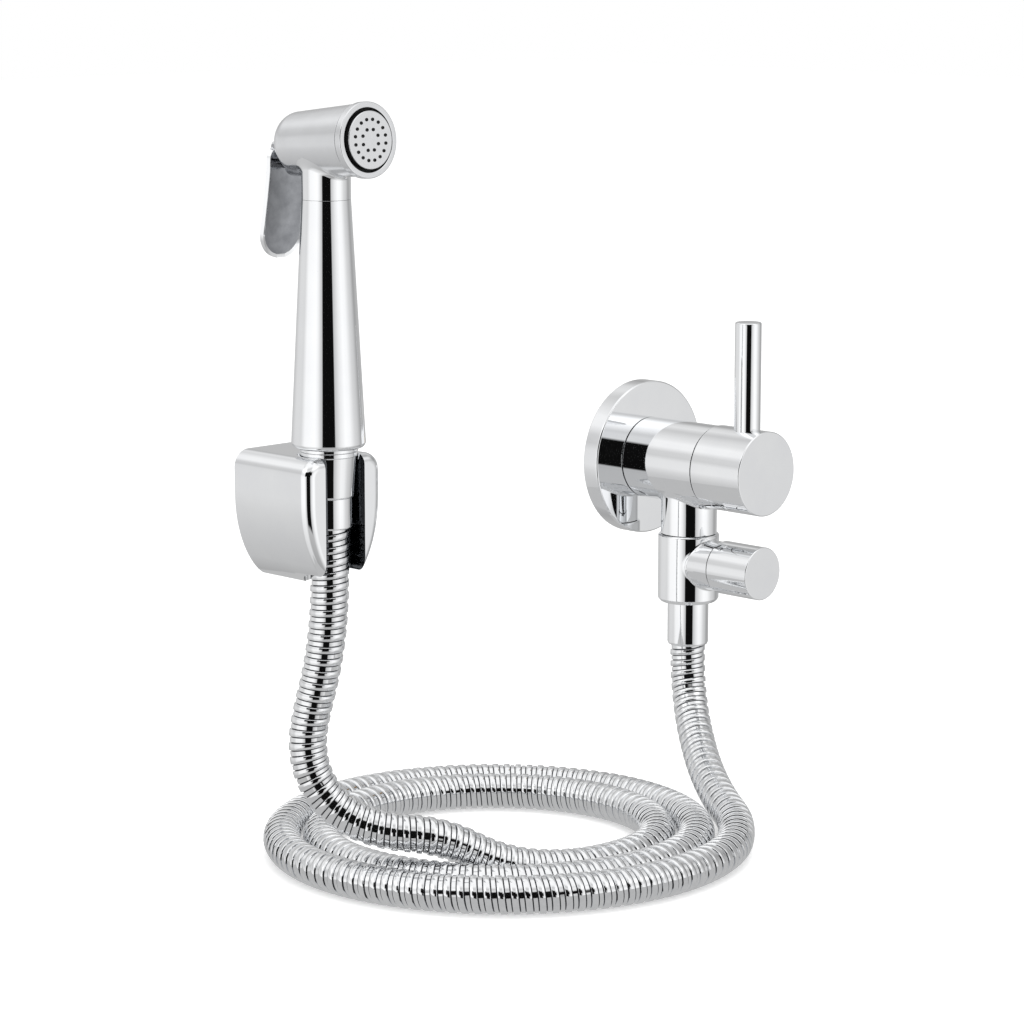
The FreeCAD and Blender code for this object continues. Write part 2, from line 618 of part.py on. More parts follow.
def spray_face():
    front = head_point("head_front")
    node(ring("spray_bezel", "bezel_diameter / 2 - bezel_wall", "bezel_diameter / 2",
              "0.02", "bezel_length", front, HEAD))
    plate = disc("nozzle_blank", "plate_diameter / 2", "bezel_length - plate_thickness",
                 "bezel_length + plate_proud", front, HEAD)
    jets = []
    for radius, count in (("outer_ring_radius", "outer_ring_count"),
                          ("inner_ring_radius", "inner_ring_count")):
        for i in range(round(value(count))):
            turn = 2 * math.pi * (i + 0.5) / value(count)
            jet = rod("jet_%s_%d" % (radius[:5], i), "jet_diameter / 2", "plate_thickness * 3",
                      ON_AXIS, HEAD)
            jet.setExpression("Placement.Base.x", None)
            jet.setExpression("Placement.Base.y", None)
            jet.setExpression("Placement.Base.z", None)
            reach = value(radius)
            local = Vector(reach * math.cos(turn), reach * math.sin(turn), -1)
            jet.Placement = Placement(spot(*front) + HEAD.multVec(local), HEAD)
            jets.append(jet)
    node(cut("nozzle_plate", plate, jets))
    node(ring("nozzle_gasket", "plate_diameter / 2 - gasket_wall", "plate_diameter / 2 - 0.1",
              "bezel_length - plate_thickness - gasket_thickness",
              "bezel_length - plate_thickness - 0.02", front, HEAD))
    node(turned("nozzle_carrier", [
        ("plate_diameter / 2 - 3.5", "-9"),
        ("head_back_diameter / 2 - head_wall - 0.1", "-9"),
        ("head_back_diameter / 2 - head_wall - 0.1", "0"),
        ("plate_diameter / 2 - gasket_wall", "0"),
        ("plate_diameter / 2 - gasket_wall",
         "bezel_length - plate_thickness - gasket_thickness - 0.02"),
        ("plate_diameter / 2 - 3.5",
         "bezel_length - plate_thickness - gasket_thickness - 0.02"),
    ], front, HEAD))


def trigger_valve():
    seal_start = "(seat_back - 0.1 - seal_thickness)"
    node(disc("plunger_rod", "plunger_diameter / 2", "seat_back - 0.08",
              TRIGGER_BACK + " - 0.15", PLUNGER, TO_WALL))
    node(disc("plunger_seal", "seal_diameter / 2", seal_start, "seat_back - 0.1",
              PLUNGER, TO_WALL))
    node(ring("plunger_spring", "plunger_diameter / 2 + 0.3", "plunger_diameter / 2 + 1.3",
              "-recess_front + 0.1", seal_start + " - seal_travel - 0.14",
              PLUNGER, TO_WALL))


def trigger():
    top = "knuckle_diameter / 2"
    lever = padded("trigger_blade", "YZ_Plane", [
        (TRIGGER_BACK, top),
        (TRIGGER_BACK, "-trigger_length * 0.52"),
        (TRIGGER_BACK + " + trigger_flare * 0.3", "-trigger_length * 0.7"),
        (TRIGGER_BACK + " + trigger_flare", "-trigger_length"),
        (TRIGGER_BACK + " + trigger_flare + trigger_thickness", "-trigger_length"),
        (TRIGGER_BACK + " + trigger_flare * 0.3 + trigger_thickness", "-trigger_length * 0.68"),
        (TRIGGER_BACK + " + trigger_thickness", "-trigger_length * 0.48"),
        (TRIGGER_BACK + " + trigger_thickness", top),
    ], "trigger_width", ("-spray_offset", "-spray_reach", PIN_LEVEL), UP, midplane=True)
    knuckle = rod("trigger_knuckle", "knuckle_diameter / 2", "trigger_width",
                  ("-spray_offset - trigger_width / 2", "-spray_reach + " + TRIGGER_BACK,
                   PIN_LEVEL), ACROSS)
    gap = block("tongue_gap", "tongue_width + 0.6", "knuckle_diameter + 4",
                "knuckle_diameter + 2",
                ("-spray_offset - tongue_width / 2 - 0.3",
                 "-spray_reach + " + TRIGGER_BACK + " - knuckle_diameter / 2 - 1",
                 PIN_LEVEL + " - knuckle_diameter / 2 - 0.5"))
    hole = rod("trigger_pin_hole", "pin_diameter / 2 + thread_fit", "trigger_width + 2",
               ("-spray_offset - trigger_width / 2 - 1", "-spray_reach + " + TRIGGER_BACK,
                PIN_LEVEL), ACROSS)
    low = value(PIN_LEVEL + " - trigger_length")
    half = value("trigger_width / 2")
    side = value("-spray_offset")
    blank = block("trigger_blank", "trigger_width", "trigger_flare + trigger_thickness + 2",
                  "trigger_length + knuckle_diameter / 2",
                  ("-spray_offset - trigger_width / 2",
                   "-spray_reach + " + TRIGGER_BACK + " - 1", PIN_LEVEL + " - trigger_length"))
    outline = rounded("trigger_outline", blank, "trigger_round",
                      lambda edge: abs(edge.CenterOfMass.z - low) < 0.01
                      and abs(abs(edge.CenterOfMass.x - side) - half) < 0.01)
    blade = common("trigger_rounded", [lever, outline])
    node(cut("trigger_lever", fused("trigger_outside", [blade, knuckle]), [gap, hole]))
    node(rod("trigger_pin", "pin_diameter / 2", "trigger_width",
             ("-spray_offset - trigger_width / 2", "-spray_reach + " + TRIGGER_BACK,
              PIN_LEVEL), ACROSS), "trigger_pin")


# wall holder

def wall_holder():
    centre = ("-spray_offset", "0", "0")
    blank = padded("holder_blank", "XZ_Plane", [
        ("-holder_width / 2", "holder_top"),
        ("-holder_width / 2", "holder_top - holder_base_round"),
        ("-holder_width / 2 + holder_taper", "-holder_base"),
        ("holder_width / 2 - holder_taper", "-holder_base"),
        ("holder_width / 2", "holder_top - holder_base_round"),
        ("holder_width / 2", "holder_top"),
    ], "holder_depth", centre, UP)
    top = value("holder_top")
    low = value("-holder_base")
    tops = rounded("holder_top_rounded", blank, "holder_top_round",
                   lambda edge: abs(edge.CenterOfMass.z - top) < 0.01
                   and abs(edge.Length - value("holder_depth")) < 0.01)
    outside = rounded("holder_rounded", tops, "holder_base_round",
                      lambda edge: abs(edge.CenterOfMass.z - low) < 0.01
                      and abs(edge.Length - value("holder_depth")) < 0.01)
    height = "holder_top + holder_base + 2"
    slot = block("holder_slot", "slot_width", "holder_depth - spray_reach + 1", height,
                 ("-spray_offset - slot_width / 2", "-holder_depth - 1", "-holder_base - 1"))
    back = rod("holder_slot_back", "slot_width / 2", height,
               ("-spray_offset", "-spray_reach", "-holder_base - 1"))
    slope = "(nut_top_diameter - nut_low_diameter) / 2 / nut_length"
    nut_level = "(spray_level + ferrule_length)"
    seat = turned("holder_seat", [
        ("0", nut_level + " - spray_level"),
        ("nut_low_diameter / 2 + seat_gap", nut_level + " - spray_level"),
        ("nut_low_diameter / 2 + seat_gap + " + slope + " * (holder_top + 1 - " + nut_level + ")",
         "holder_top + 1 - spray_level"),
        ("0", "holder_top + 1 - spray_level"),
    ], SPRAY, UP)
    pocket = block("holder_pocket_box", "plate_width + 0.4", "holder_pocket + 1",
                   "plate_height + 0.4",
                   ("-spray_offset - plate_width / 2 - 0.2", "-holder_pocket",
                    "(holder_top - holder_base - plate_height) / 2 - 0.2"))
    grub = rod("holder_grub_hole", "holder_grub / 2 + thread_fit", "holder_base + 2",
               ("-spray_offset", "-wall_plate_thickness - holder_grub / 2 - 0.2",
                "-holder_base - 1"))
    node(cut("holder_cover", outside, [slot, back, seat, pocket, grub]))

    plate_low = "((holder_top - holder_base - plate_height) / 2)"
    plate = block("plate_blank", "plate_width", "wall_plate_thickness", "plate_height",
                  ("-spray_offset - plate_width / 2", "-wall_plate_thickness", plate_low))
    foot = block("plate_foot", "plate_width", "wall_plate_thickness + 2", "3",
                 ("-spray_offset - plate_width / 2", "-wall_plate_thickness * 2 - 2",
                  plate_low))
    holes = [rod("plate_hole_%d" % i, "screw_hole / 2", "wall_plate_thickness + 2",
                 ("-spray_offset", "1",
                  "(holder_top - holder_base) / 2 %s screw_spacing / 2" % sign), FROM_WALL)
             for i, sign in enumerate("+-")]
    grub_way = rod("foot_grub_hole", "holder_grub / 2 + thread_fit", "5",
                   ("-spray_offset", "-wall_plate_thickness - holder_grub / 2 - 0.2",
                    plate_low + " - 1"))
    node(cut("holder_wall_plate", fused("plate_outside", [plate, foot]), holes + [grub_way]))
    node(rod("holder_grub_screw", "holder_grub / 2",
             plate_low + " + holder_base + 2.5",
             ("-spray_offset", "-wall_plate_thickness - holder_grub / 2 - 0.2",
              "-holder_base + 0.3")), "holder_grub_screw")


# the hose: one route from the hand spray through the coil to the valve

SPRAY_RUN = [
    (-214.2, -34, -9.5), (-214.2, -34, -22), (-214.5, -33.6, -36), (-215.5, -32.4, -50),
    (-217.2, -30.5, -63.5), (-219.3, -27.9, -76.3), (-220.8, -26.4, -89.5),
    (-219.4, -28.4, -102.8), (-214.8, -34, -113.8), (-207.9, -42.4, -121.2),
    (-199.3, -52.3, -124.8), (-189.8, -61.5, -126), (-178.8, -68.8, -130),
    (-167.7, -76.6, -137.6), (-154.4, -86.8, -142.4),
]
VALVE_RUN = [
    (-55.4, -110.9, -142.9), (-43.4, -99.2, -140.9), (-34.6, -84, -138), (-25.6, -69.6, -133.4),
    (-18, -58, -127.6), (-11.5, -48.8, -121), (-6.6, -41.8, -114), (-3, -36.7, -106),
    (-0.8, -33.5, -97), (0, -32.3, -88),
]
COIL_FROM, COIL_TO, COIL_STEP = -60, 705, 15


def hose_points():
    """Control points of the hose centreline, from the spray to the valve."""
    start = spot("-spray_offset", "-spray_reach", "spray_level")
    end = spot("0", "-neck_station", "-neck_drop - stop_body_length - end_length")
    centre = spot("coil_centre_x", "coil_centre_y", "floor_level")
    lie = Rotation(Vector(0, 0, 1), value("coil_lie"))
    coil = []
    for turn in range(COIL_FROM, COIL_TO + 1, COIL_STEP):
        radius = value("coil_radius") + value("coil_pitch") * turn / 360
        angle = math.radians(turn)
        local = Vector(radius * math.cos(angle),
                       radius * math.sin(angle) * value("coil_oval"), 0)
        coil.append(centre + lie.multVec(local))
    return ([start] + [Vector(*p) for p in SPRAY_RUN] + coil
            + [Vector(*p) for p in VALVE_RUN] + [end])


def smooth_route(points):
    """A clamped quadratic spline that has the points as its control points."""
    count = len(points)
    curve = Part.BSplineCurve()
    knots = list(range(count - 1))
    curve.buildFromPolesMultsKnots(points, [3] + [1] * (count - 3) + [3], knots, False, 2)
    return curve


def carried_frames(curve, stations):
    """Point, direction and side direction at each length along the curve."""
    frames = []
    side = Vector(1, 0, 0)
    for length in stations:
        at = curve.parameterAtDistance(length, curve.FirstParameter)
        point = curve.value(at)
        along = Vector(*curve.tangent(at)[0])
        side = side - along * side.dot(along)
        side.normalize()
        frames.append((point, along, Vector(side)))
    return frames


def circle_wire(frame, radius):
    point, along, side = frame
    edge = Part.makeCircle(radius)
    edge.Placement = Placement(point, Rotation(side, along.cross(side), along, "ZXY"))
    return Part.Wire([edge])


def ribbed_tube(curve, first, last, ribs):
    """A tube with its bore and rounded-square ribs between two lengths."""
    crest = value("hose_diameter / 2")
    groove = crest - value("hose_groove")
    pitch = (last - first) / ribs
    stations, radii = [], []
    for i in range(ribs):
        for share, radius in ((0.0, groove), (0.16, crest), (0.84, crest), (0.999, groove)):
            stations.append(first + (i + share) * pitch)
            radii.append(radius)
    stations[-1] = last
    frames = carried_frames(curve, stations)
    outer = Part.makeLoft([circle_wire(f, r) for f, r in zip(frames, radii)], False, True)
    bore = value("hose_bore / 2")
    inner_frames = frames[::4] + [frames[-1]]
    inner = Part.makeLoft([circle_wire(f, bore) for f in inner_frames], False, True)
    faces = outer.Faces + inner.Faces
    for frame, radius in ((frames[0], radii[0]), (frames[-1], radii[-1])):
        faces.append(Part.Face([circle_wire(frame, radius), circle_wire(frame, bore)]))
    shell = Part.Shell(faces)
    shell.sewShape()
    solid = Part.Solid(shell)
    solid.fix(0.01, 0.01, 0.1)
    return solid


def least_gap(curve, diameter):
    """The least gap between stretches of the hose that are not neighbours."""
    total = curve.length()
    step = 4.0
    count = int(total / step)
    points = [curve.value(curve.parameterAtDistance(i * step, curve.FirstParameter))
              for i in range(count + 1)]
    skip = int(3 * diameter / step)
    closest = min((points[i] - points[j]).Length
                  for i in range(len(points)) for j in range(i + skip, len(points)))
    return closest - diameter


def hose():
    points = hose_points()
    curve = smooth_route(points)
    total = curve.length()
    entry = points[len(SPRAY_RUN)]
    leave = points[-len(VALVE_RUN) - 1]
    landing = curve.parameter(entry)
    lift = curve.parameter(leave)
    first = curve.length(curve.FirstParameter, landing)
    last = curve.length(curve.FirstParameter, lift)
    pitch = total / 196
    stretches = (("hose_riser_spray", 0.0, first), ("hose_coil", first, last),
                 ("hose_riser_valve", last, total))
    for label, begin, end in stretches:
        piece = doc.addObject("Part::Feature", label)
        piece.Shape = ribbed_tube(curve, begin, end, max(2, round((end - begin) / pitch)))
        piece.Placement = Placement()
        node(piece, label)
    print("hose length %.1f mm, least gap to itself %.2f mm"
          % (total, least_gap(curve, value("hose_diameter"))))
    tightest = min(1 / max(curve.curvature(curve.parameterAtDistance(s, curve.FirstParameter)),
                           1e-9) for s in range(2, int(total) - 2, 3))
    print("tightest bend of the hose centreline %.1f mm" % tightest)
    for label, begin, end in stretches:
        print("%s from %.1f to %.1f mm" % (label, begin, end))


wall_fittings()
valve_body()
headwork()
lever_knob()
stop_valve()
valve_hose_end()
spray_hose_end()
handle()
spray_head()
spray_face()
trigger_valve()
trigger()
wall_holder()
hose()

doc.recompute()
for item in doc.Objects:
    if "Invalid" in item.State or "Error" in item.State:
        raise SystemExit("%s failed: %s" % (item.Label, item.State))
for piece in nodes:
    if piece.Shape.isNull() or not piece.Shape.isValid():
        raise SystemExit("%s has no valid shape" % piece.Label)

os.makedirs("parts", exist_ok=True)
for piece in nodes:
    piece.Shape.exportStep("parts/%s.step" % piece.Label)
    print("%-24s %8.1f mm3, %d solid(s)" % (piece.Label, piece.Shape.Volume,
                                            len(piece.Shape.Solids)))
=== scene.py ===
# Two-way bidet tap: a wall valve with a lever knob and a stop knob, a ribbed
# metal hose in a coil, and a trigger hand spray in its wall holder.
import bpy
import json
import math
from mathutils import Matrix, Vector


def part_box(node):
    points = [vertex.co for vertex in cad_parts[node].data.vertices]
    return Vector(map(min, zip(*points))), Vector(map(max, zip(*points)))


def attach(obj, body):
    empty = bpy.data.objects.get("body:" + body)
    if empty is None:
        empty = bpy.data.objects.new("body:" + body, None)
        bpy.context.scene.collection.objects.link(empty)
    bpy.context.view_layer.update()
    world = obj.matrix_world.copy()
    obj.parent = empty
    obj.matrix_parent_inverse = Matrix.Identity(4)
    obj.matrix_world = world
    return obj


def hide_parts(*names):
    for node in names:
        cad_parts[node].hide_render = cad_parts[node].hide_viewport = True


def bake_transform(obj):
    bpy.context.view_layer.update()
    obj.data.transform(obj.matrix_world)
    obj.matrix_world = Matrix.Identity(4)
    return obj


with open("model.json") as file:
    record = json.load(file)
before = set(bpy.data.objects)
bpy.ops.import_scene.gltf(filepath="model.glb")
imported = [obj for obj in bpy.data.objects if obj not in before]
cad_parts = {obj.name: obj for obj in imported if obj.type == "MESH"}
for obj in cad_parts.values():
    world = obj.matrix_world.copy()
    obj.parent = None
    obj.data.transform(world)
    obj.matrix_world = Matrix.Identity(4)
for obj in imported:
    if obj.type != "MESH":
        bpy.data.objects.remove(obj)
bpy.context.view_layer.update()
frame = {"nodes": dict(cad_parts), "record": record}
mm = 0.001

# turns that send a piece's own +Z up, away from the wall or towards it
up = (0, 0, 0)
fromWall = (math.pi / 2, 0, 0)
toWall = (-math.pi / 2, 0, 0)


# the camera, fitted to the flange, the knobs and the coil in the photograph

shot = {
    "place": (-1.0701, -0.9919, 0.2310),
    "azimuth": -45,    # degrees, 0 looks along +Y
    "pitch": 10,       # degrees down
    "lens": 116.0,     # millimetres on a 36 mm sensor
}


def setCamera():
    bpy.ops.object.camera_add(
        location=shot["place"],
        rotation=(math.radians(90 - shot["pitch"]), 0, math.radians(shot["azimuth"])))
    camera = bpy.context.object
    camera.name = "photoCamera"
    camera.data.lens = shot["lens"]
    camera.data.sensor_width = 36
    camera.data.clip_start = 0.05
    bpy.context.scene.camera = camera
    print("camera set")


# small helpers

def pickNothing():
    if bpy.context.mode != "OBJECT":
        bpy.ops.object.mode_set(mode="OBJECT")
    bpy.ops.object.select_all(action="DESELECT")


def pick(*pieces):
    pickNothing()
    for piece in pieces:
        piece.select_set(True)
    bpy.context.view_layer.objects.active = pieces[0]


def toAll(operation, **settings):
    # in edit mode, with the whole piece selected
    bpy.ops.mesh.select_all(action="SELECT")
    operation(**settings)


def applyModifier(piece, kind, **settings):
    pick(piece)
    bpy.ops.object.modifier_add(type=kind)
    modifier = piece.modifiers[-1]
    for key, setting in settings.items():
        setattr(modifier, key, setting)
    bpy.ops.object.modifier_apply(modifier=modifier.name)


def turnMatrix(turn):
    return Matrix.Rotation(turn[2], 3, "Z") @ Matrix.Rotation(turn[1], 3, "Y") \
        @ Matrix.Rotation(turn[0], 3, "X")


def settle(piece, base=(0, 0, 0), turn=up):
    # put the piece where it belongs, with its place in its mesh
    piece.location = Vector(base) + turnMatrix(turn) @ Vector(piece.location)
    piece.rotation_euler = turn
    pick(piece)
    bpy.ops.object.transform_apply(location=True, rotation=True, scale=True)


def arc(centre, radius, start, end, steps=6):
    # (radius, station) points of a round edge in a turned outline
    return [(centre[0] + radius * math.cos(math.radians(start + (end - start) * i / steps)),
             centre[1] + radius * math.sin(math.radians(start + (end - start) * i / steps)))
            for i in range(steps + 1)]


def ringOutline(inner, outer, back, front):
    # a plain ring in a turned outline, given in mm
    corners = [(inner, back), (outer, back), (outer, front), (inner, front), (inner, back)]
    return [(radius * mm, station * mm) for radius, station in corners]


def smoothed(piece, bevel=0.0, steps=3, sharp=30):
    # round the sharp edges and let the flats stay flat in the shading
    if bevel:
        applyModifier(piece, "BEVEL", width=bevel, segments=steps, limit_method="ANGLE",
                      angle_limit=math.radians(sharp), use_clamp_overlap=True)
    pick(piece)
    bpy.ops.object.shade_smooth_by_angle(angle=math.radians(sharp + 8))
    applyModifier(piece, "WEIGHTED_NORMAL", keep_sharp=True, weight=80)
    return piece


def turned(name, outline, base=(0, 0, 0), turn=up, sides=96, bevel=0.0, steps=3):
    # a ring is drawn out from station to station and widened or narrowed there
    pickNothing()
    radius, station = outline[0]
    bpy.ops.mesh.primitive_circle_add(vertices=sides, radius=radius,
                                      location=(0, 0, station))
    piece = bpy.context.object
    piece.name = piece.data.name = name
    bpy.ops.object.mode_set(mode="EDIT")
    bpy.ops.mesh.select_all(action="SELECT")
    for nextRadius, nextStation in outline[1:]:
        bpy.ops.mesh.extrude_region_move(
            TRANSFORM_OT_translate={"value": (0, 0, nextStation - station)})
        if abs(nextRadius - radius) > 1e-9:
            grow = nextRadius / radius
            bpy.ops.transform.resize(value=(grow, grow, 1),
                                     center_override=(0, 0, nextStation))
        radius, station = nextRadius, nextStation
    toAll(bpy.ops.mesh.remove_doubles, threshold=1e-6)
    toAll(bpy.ops.mesh.fill_holes, sides=0)
    toAll(bpy.ops.mesh.normals_make_consistent, inside=False)
    bpy.ops.object.mode_set(mode="OBJECT")
    settle(piece, base, turn)
    return smoothed(piece, bevel, steps)


def block(place, size):
    pickNothing()
    bpy.ops.mesh.primitive_cube_add(size=1, location=place)
    piece = bpy.context.object
    piece.scale = size
    bpy.ops.object.transform_apply(location=True, rotation=True, scale=True)
    return piece


def joined(name, *pieces):
    pick(*pieces)
    bpy.ops.object.join()
    pieces[0].name = pieces[0].data.name = name
    return pieces[0]


def extent(node):
    low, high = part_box(node)
    return low, high, (low + high) / 2


def dress(piece, material, body, slot, *nodes):
    piece.data.materials.clear()
    piece.data.materials.append(material)
    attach(piece, body)
    if nodes:
        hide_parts(*nodes)


# materials

def linear(hexColour):
    parts = [int(hexColour[i:i + 2], 16) / 255 for i in (1, 3, 5)]
    return [c / 12.92 if c <= 0.04045 else ((c + 0.055) / 1.055) ** 2.4
            for c in parts] + [1.0]


def addNode(tree, kind, settings=None, links=None):
    node = tree.nodes.new(kind)
    for key, setting in (settings or {}).items():
        if isinstance(key, int) or key in node.inputs:
            node.inputs[key].default_value = setting
        else:
            setattr(node, key, setting)
    for key, source in (links or {}).items():
        tree.links.new(source, node.inputs[key])
    return node


def newMaterial(name):
    material = bpy.data.materials.new(name)
    material.use_nodes = True
    material.node_tree.nodes.clear()
    return material, material.node_tree


def setStops(ramp, stops):
    # stops are (position, hex colour) from left to right
    elements = ramp.color_ramp.elements
    while len(elements) < len(stops):
        elements.new(1.0)
    for element, (position, colour) in zip(elements, stops):
        element.position = position
        element.color = linear(colour)


finish = {
    # name: light tone, dark tone, roughness low, roughness high, pattern in mm, bump
    "polished chrome plate": ("#F8F9FA", "#F4F5F7", 0.025, 0.045, 14.0, 0.003),
    "chrome plated ABS": ("#EFF0F2", "#EAEBED", 0.14, 0.17, 9.0, 0.006),
    "chromed steel strip": ("#F6F7F8", "#ECEDEF", 0.04, 0.08, 2.5, 0.012),
    # painted shade for the hose's grooves: a dark steel
    "groove steel, painted shade": ("#4E4F52", "#38393B", 0.25, 0.45, 0.9, 0.10),
    # painted shade for the trigger's inner face: a darker steel
    "darkened steel, painted shade": ("#A0A2A6", "#85878B", 0.07, 0.11, 5.0, 0.01),
    # painted shade for the holder's slot walls: a darker chrome
    "chrome plate, painted shade": ("#7E8083", "#6A6C6F", 0.10, 0.16, 6.0, 0.01),
    "turned brass": ("#CDA45A", "#B98F48", 0.20, 0.32, 1.2, 0.10),
    "stainless steel": ("#B9BABC", "#A5A6A9", 0.22, 0.34, 1.0, 0.08),
}


def metal(name):
    # a plated or turned metal: nearly even colour, polish that varies a little
    light, dark, smooth, rough, pattern, bump = finish[name]
    material, tree = newMaterial(name)
    where = addNode(tree, "ShaderNodeTexCoord")
    spots = addNode(tree, "ShaderNodeTexNoise",
                    {"Scale": 1 / (pattern * mm), "Detail": 4.0, "Roughness": 0.55},
                    {"Vector": where.outputs["Object"]})
    tone = addNode(tree, "ShaderNodeValToRGB", links={"Fac": spots.outputs["Fac"]})
    setStops(tone, [(0.3, light), (0.75, dark)])
    polish = addNode(tree, "ShaderNodeMapRange",
                     {"From Min": 0.3, "From Max": 0.75, "To Min": smooth, "To Max": rough},
                     {"Value": spots.outputs["Fac"]})
    ripple = addNode(tree, "ShaderNodeBump", {"Strength": bump, "Distance": 0.02 * mm},
                     {"Height": spots.outputs["Fac"]})
    shader = addNode(tree, "ShaderNodeBsdfPrincipled", {"Metallic": 1.0},
                     {"Base Color": tone.outputs["Color"], "Roughness": polish.outputs["Result"],
                      "Normal": ripple.outputs["Normal"]})
    addNode(tree, "ShaderNodeOutputMaterial", links={"Surface": shader.outputs["BSDF"]})
    return material


polymers = {
    # name: light tone, dark tone, roughness low, roughness high, grain in mm
    "silicone nozzle": ("#B9BBBE", "#A9ABAE", 0.38, 0.52, 0.8),
    "nitrile rubber": ("#1B1B1C", "#121213", 0.55, 0.75, 0.6),
    "moulded acetal": ("#E6E5E0", "#DAD9D3", 0.40, 0.52, 1.0),
    "lapped alumina ceramic": ("#F2EFE8", "#E8E4DA", 0.12, 0.20, 0.7),
}


def polymer(name):
    # a moulded or sintered material with a fine even grain
    light, dark, smooth, rough, grain = polymers[name]
    material, tree = newMaterial(name)
    where = addNode(tree, "ShaderNodeTexCoord")
    spots = addNode(tree, "ShaderNodeTexNoise",
                    {"Scale": 1 / (grain * mm), "Detail": 3.0, "Roughness": 0.6},
                    {"Vector": where.outputs["Object"]})
    tone = addNode(tree, "ShaderNodeValToRGB", links={"Fac": spots.outputs["Fac"]})
    setStops(tone, [(0.3, light), (0.7, dark)])
    sheen = addNode(tree, "ShaderNodeMapRange",
                    {"From Min": 0.3, "From Max": 0.7, "To Min": smooth, "To Max": rough},
                    {"Value": spots.outputs["Fac"]})
    ripple = addNode(tree, "ShaderNodeBump", {"Strength": 0.15, "Distance": 0.02 * mm},
                     {"Height": spots.outputs["Fac"]})
    shader = addNode(tree, "ShaderNodeBsdfPrincipled", {"IOR": 1.47},
                     {"Base Color": tone.outputs["Color"], "Roughness": sheen.outputs["Result"],
                      "Normal": ripple.outputs["Normal"]})
    addNode(tree, "ShaderNodeOutputMaterial", links={"Surface": shader.outputs["BSDF"]})
    return material


materials = {name: metal(name) for name in finish}
materials.update({name: polymer(name) for name in polymers})
chrome = materials["polished chrome plate"]
satin = materials["chrome plated ABS"]
print("materials made")


# the floor, the white surround and what the chrome mirrors

floor = {"level": -150.9 * mm, "size": 12, "glow": 0.35}
# a white board on the floor, which only the coil is near enough to mirror
coilBoard = {"place": (-0.122, -0.037, -0.15089), "side": 0.34, "glow": 0.52}


def mottle(tree):
    # the faint unevenness of a large board
    where = addNode(tree, "ShaderNodeTexCoord")
    return addNode(tree, "ShaderNodeTexNoise", {"Scale": 3.0, "Detail": 2.0},
                   {"Vector": where.outputs["Object"]}).outputs["Fac"]


def setFloor():
    pickNothing()
    bpy.ops.mesh.primitive_plane_add(size=floor["size"], location=(0, 0, floor["level"]))
    piece = bpy.context.object
    piece.name = "paleFloor"
    material, tree = newMaterial("matt white board")
    tone = addNode(tree, "ShaderNodeValToRGB", links={"Fac": mottle(tree)})
    setStops(tone, [(0.3, "#F4F4F4"), (0.7, "#F1F1F1")])
    board = addNode(tree, "ShaderNodeBsdfDiffuse", links={"Color": tone.outputs["Color"]})
    glow = addNode(tree, "ShaderNodeEmission",
                   {"Color": (1, 1, 1, 1), "Strength": floor["glow"]})
    lit = addNode(tree, "ShaderNodeAddShader")
    tree.links.new(board.outputs[0], lit.inputs[0])
    tree.links.new(glow.outputs[0], lit.inputs[1])
    rays = addNode(tree, "ShaderNodeLightPath")
    either = addNode(tree, "ShaderNodeMath", {"operation": "MAXIMUM"},
                     {0: rays.outputs["Is Camera Ray"], 1: rays.outputs["Is Glossy Ray"]})
    mix = addNode(tree, "ShaderNodeMixShader", links={0: either.outputs[0]})
    tree.links.new(board.outputs[0], mix.inputs[1])
    tree.links.new(lit.outputs[0], mix.inputs[2])
    addNode(tree, "ShaderNodeOutputMaterial", links={"Surface": mix.outputs[0]})
    piece.data.materials.append(material)
    piece.visible_glossy = False


def setCoilBoard():
    pickNothing()
    bpy.ops.mesh.primitive_plane_add(size=1)
    piece = bpy.context.object
    piece.name = "coilBoard"
    piece.scale = (coilBoard["side"], coilBoard["side"], 1)
    piece.rotation_euler = (0, 0, math.radians(shot["azimuth"]))
    piece.location = coilBoard["place"]
    material, tree = newMaterial("white bounce card")
    strength = addNode(tree, "ShaderNodeMapRange",
                       {"To Min": coilBoard["glow"] * 0.97, "To Max": coilBoard["glow"]},
                       {"Value": mottle(tree)})
    light = addNode(tree, "ShaderNodeEmission", links={"Strength": strength.outputs["Result"]})
    addNode(tree, "ShaderNodeOutputMaterial", links={"Surface": light.outputs[0]})
    piece.data.materials.append(material)
    piece.visible_camera = False
    piece.visible_diffuse = False
    piece.visible_shadow = False


# what polished metal mirrors, by direction: azimuth in degrees from the camera,
# positive to its right, then how bright it is there at eye level
surround = [(-180, "#B8B8B8"), (-165, "#C8C8C8"), (-148, "#C0C0C0"), (-124, "#D6D6D6"),
            (-106, "#D8D8D8"), (-92, "#D6D6D6"), (-76, "#F6F6F6"), (-40, "#FDFDFD"),
            (-30, "#EEEEEE"), (-19, "#C4C4C4"), (27, "#C4C4C4"), (42, "#E8E8E8"),
            (58, "#FCFCFC"), (74, "#F6F6F6"), (92, "#D5D5D5"), (108, "#C4C4C4"),
            (124, "#9C9C9C"), (146, "#B0B0B0")]
# how much of that is left lower down and higher up, by the sine of the elevation
tiers = [(-1.0, "#B0B0B0"), (-0.85, "#B8B8B8"), (-0.69, "#C4C4C4"), (-0.45, "#D2D2D2"),
         (-0.28, "#DCDCDC"), (-0.16, "#E7E7E7"), (0.12, "#E4E4E4"), (0.25, "#D2D2D2"),
         (0.40, "#DCDCDC"), (0.54, "#FFFFFF"), (0.66, "#FFFFFF"), (0.74, "#ECECEC"),
         (1.0, "#ECECEC")]
# straight overhead it is one light grey
overhead = [(0.76, 0), (0.92, 1)]
overheadTone = "#E1E1E1"
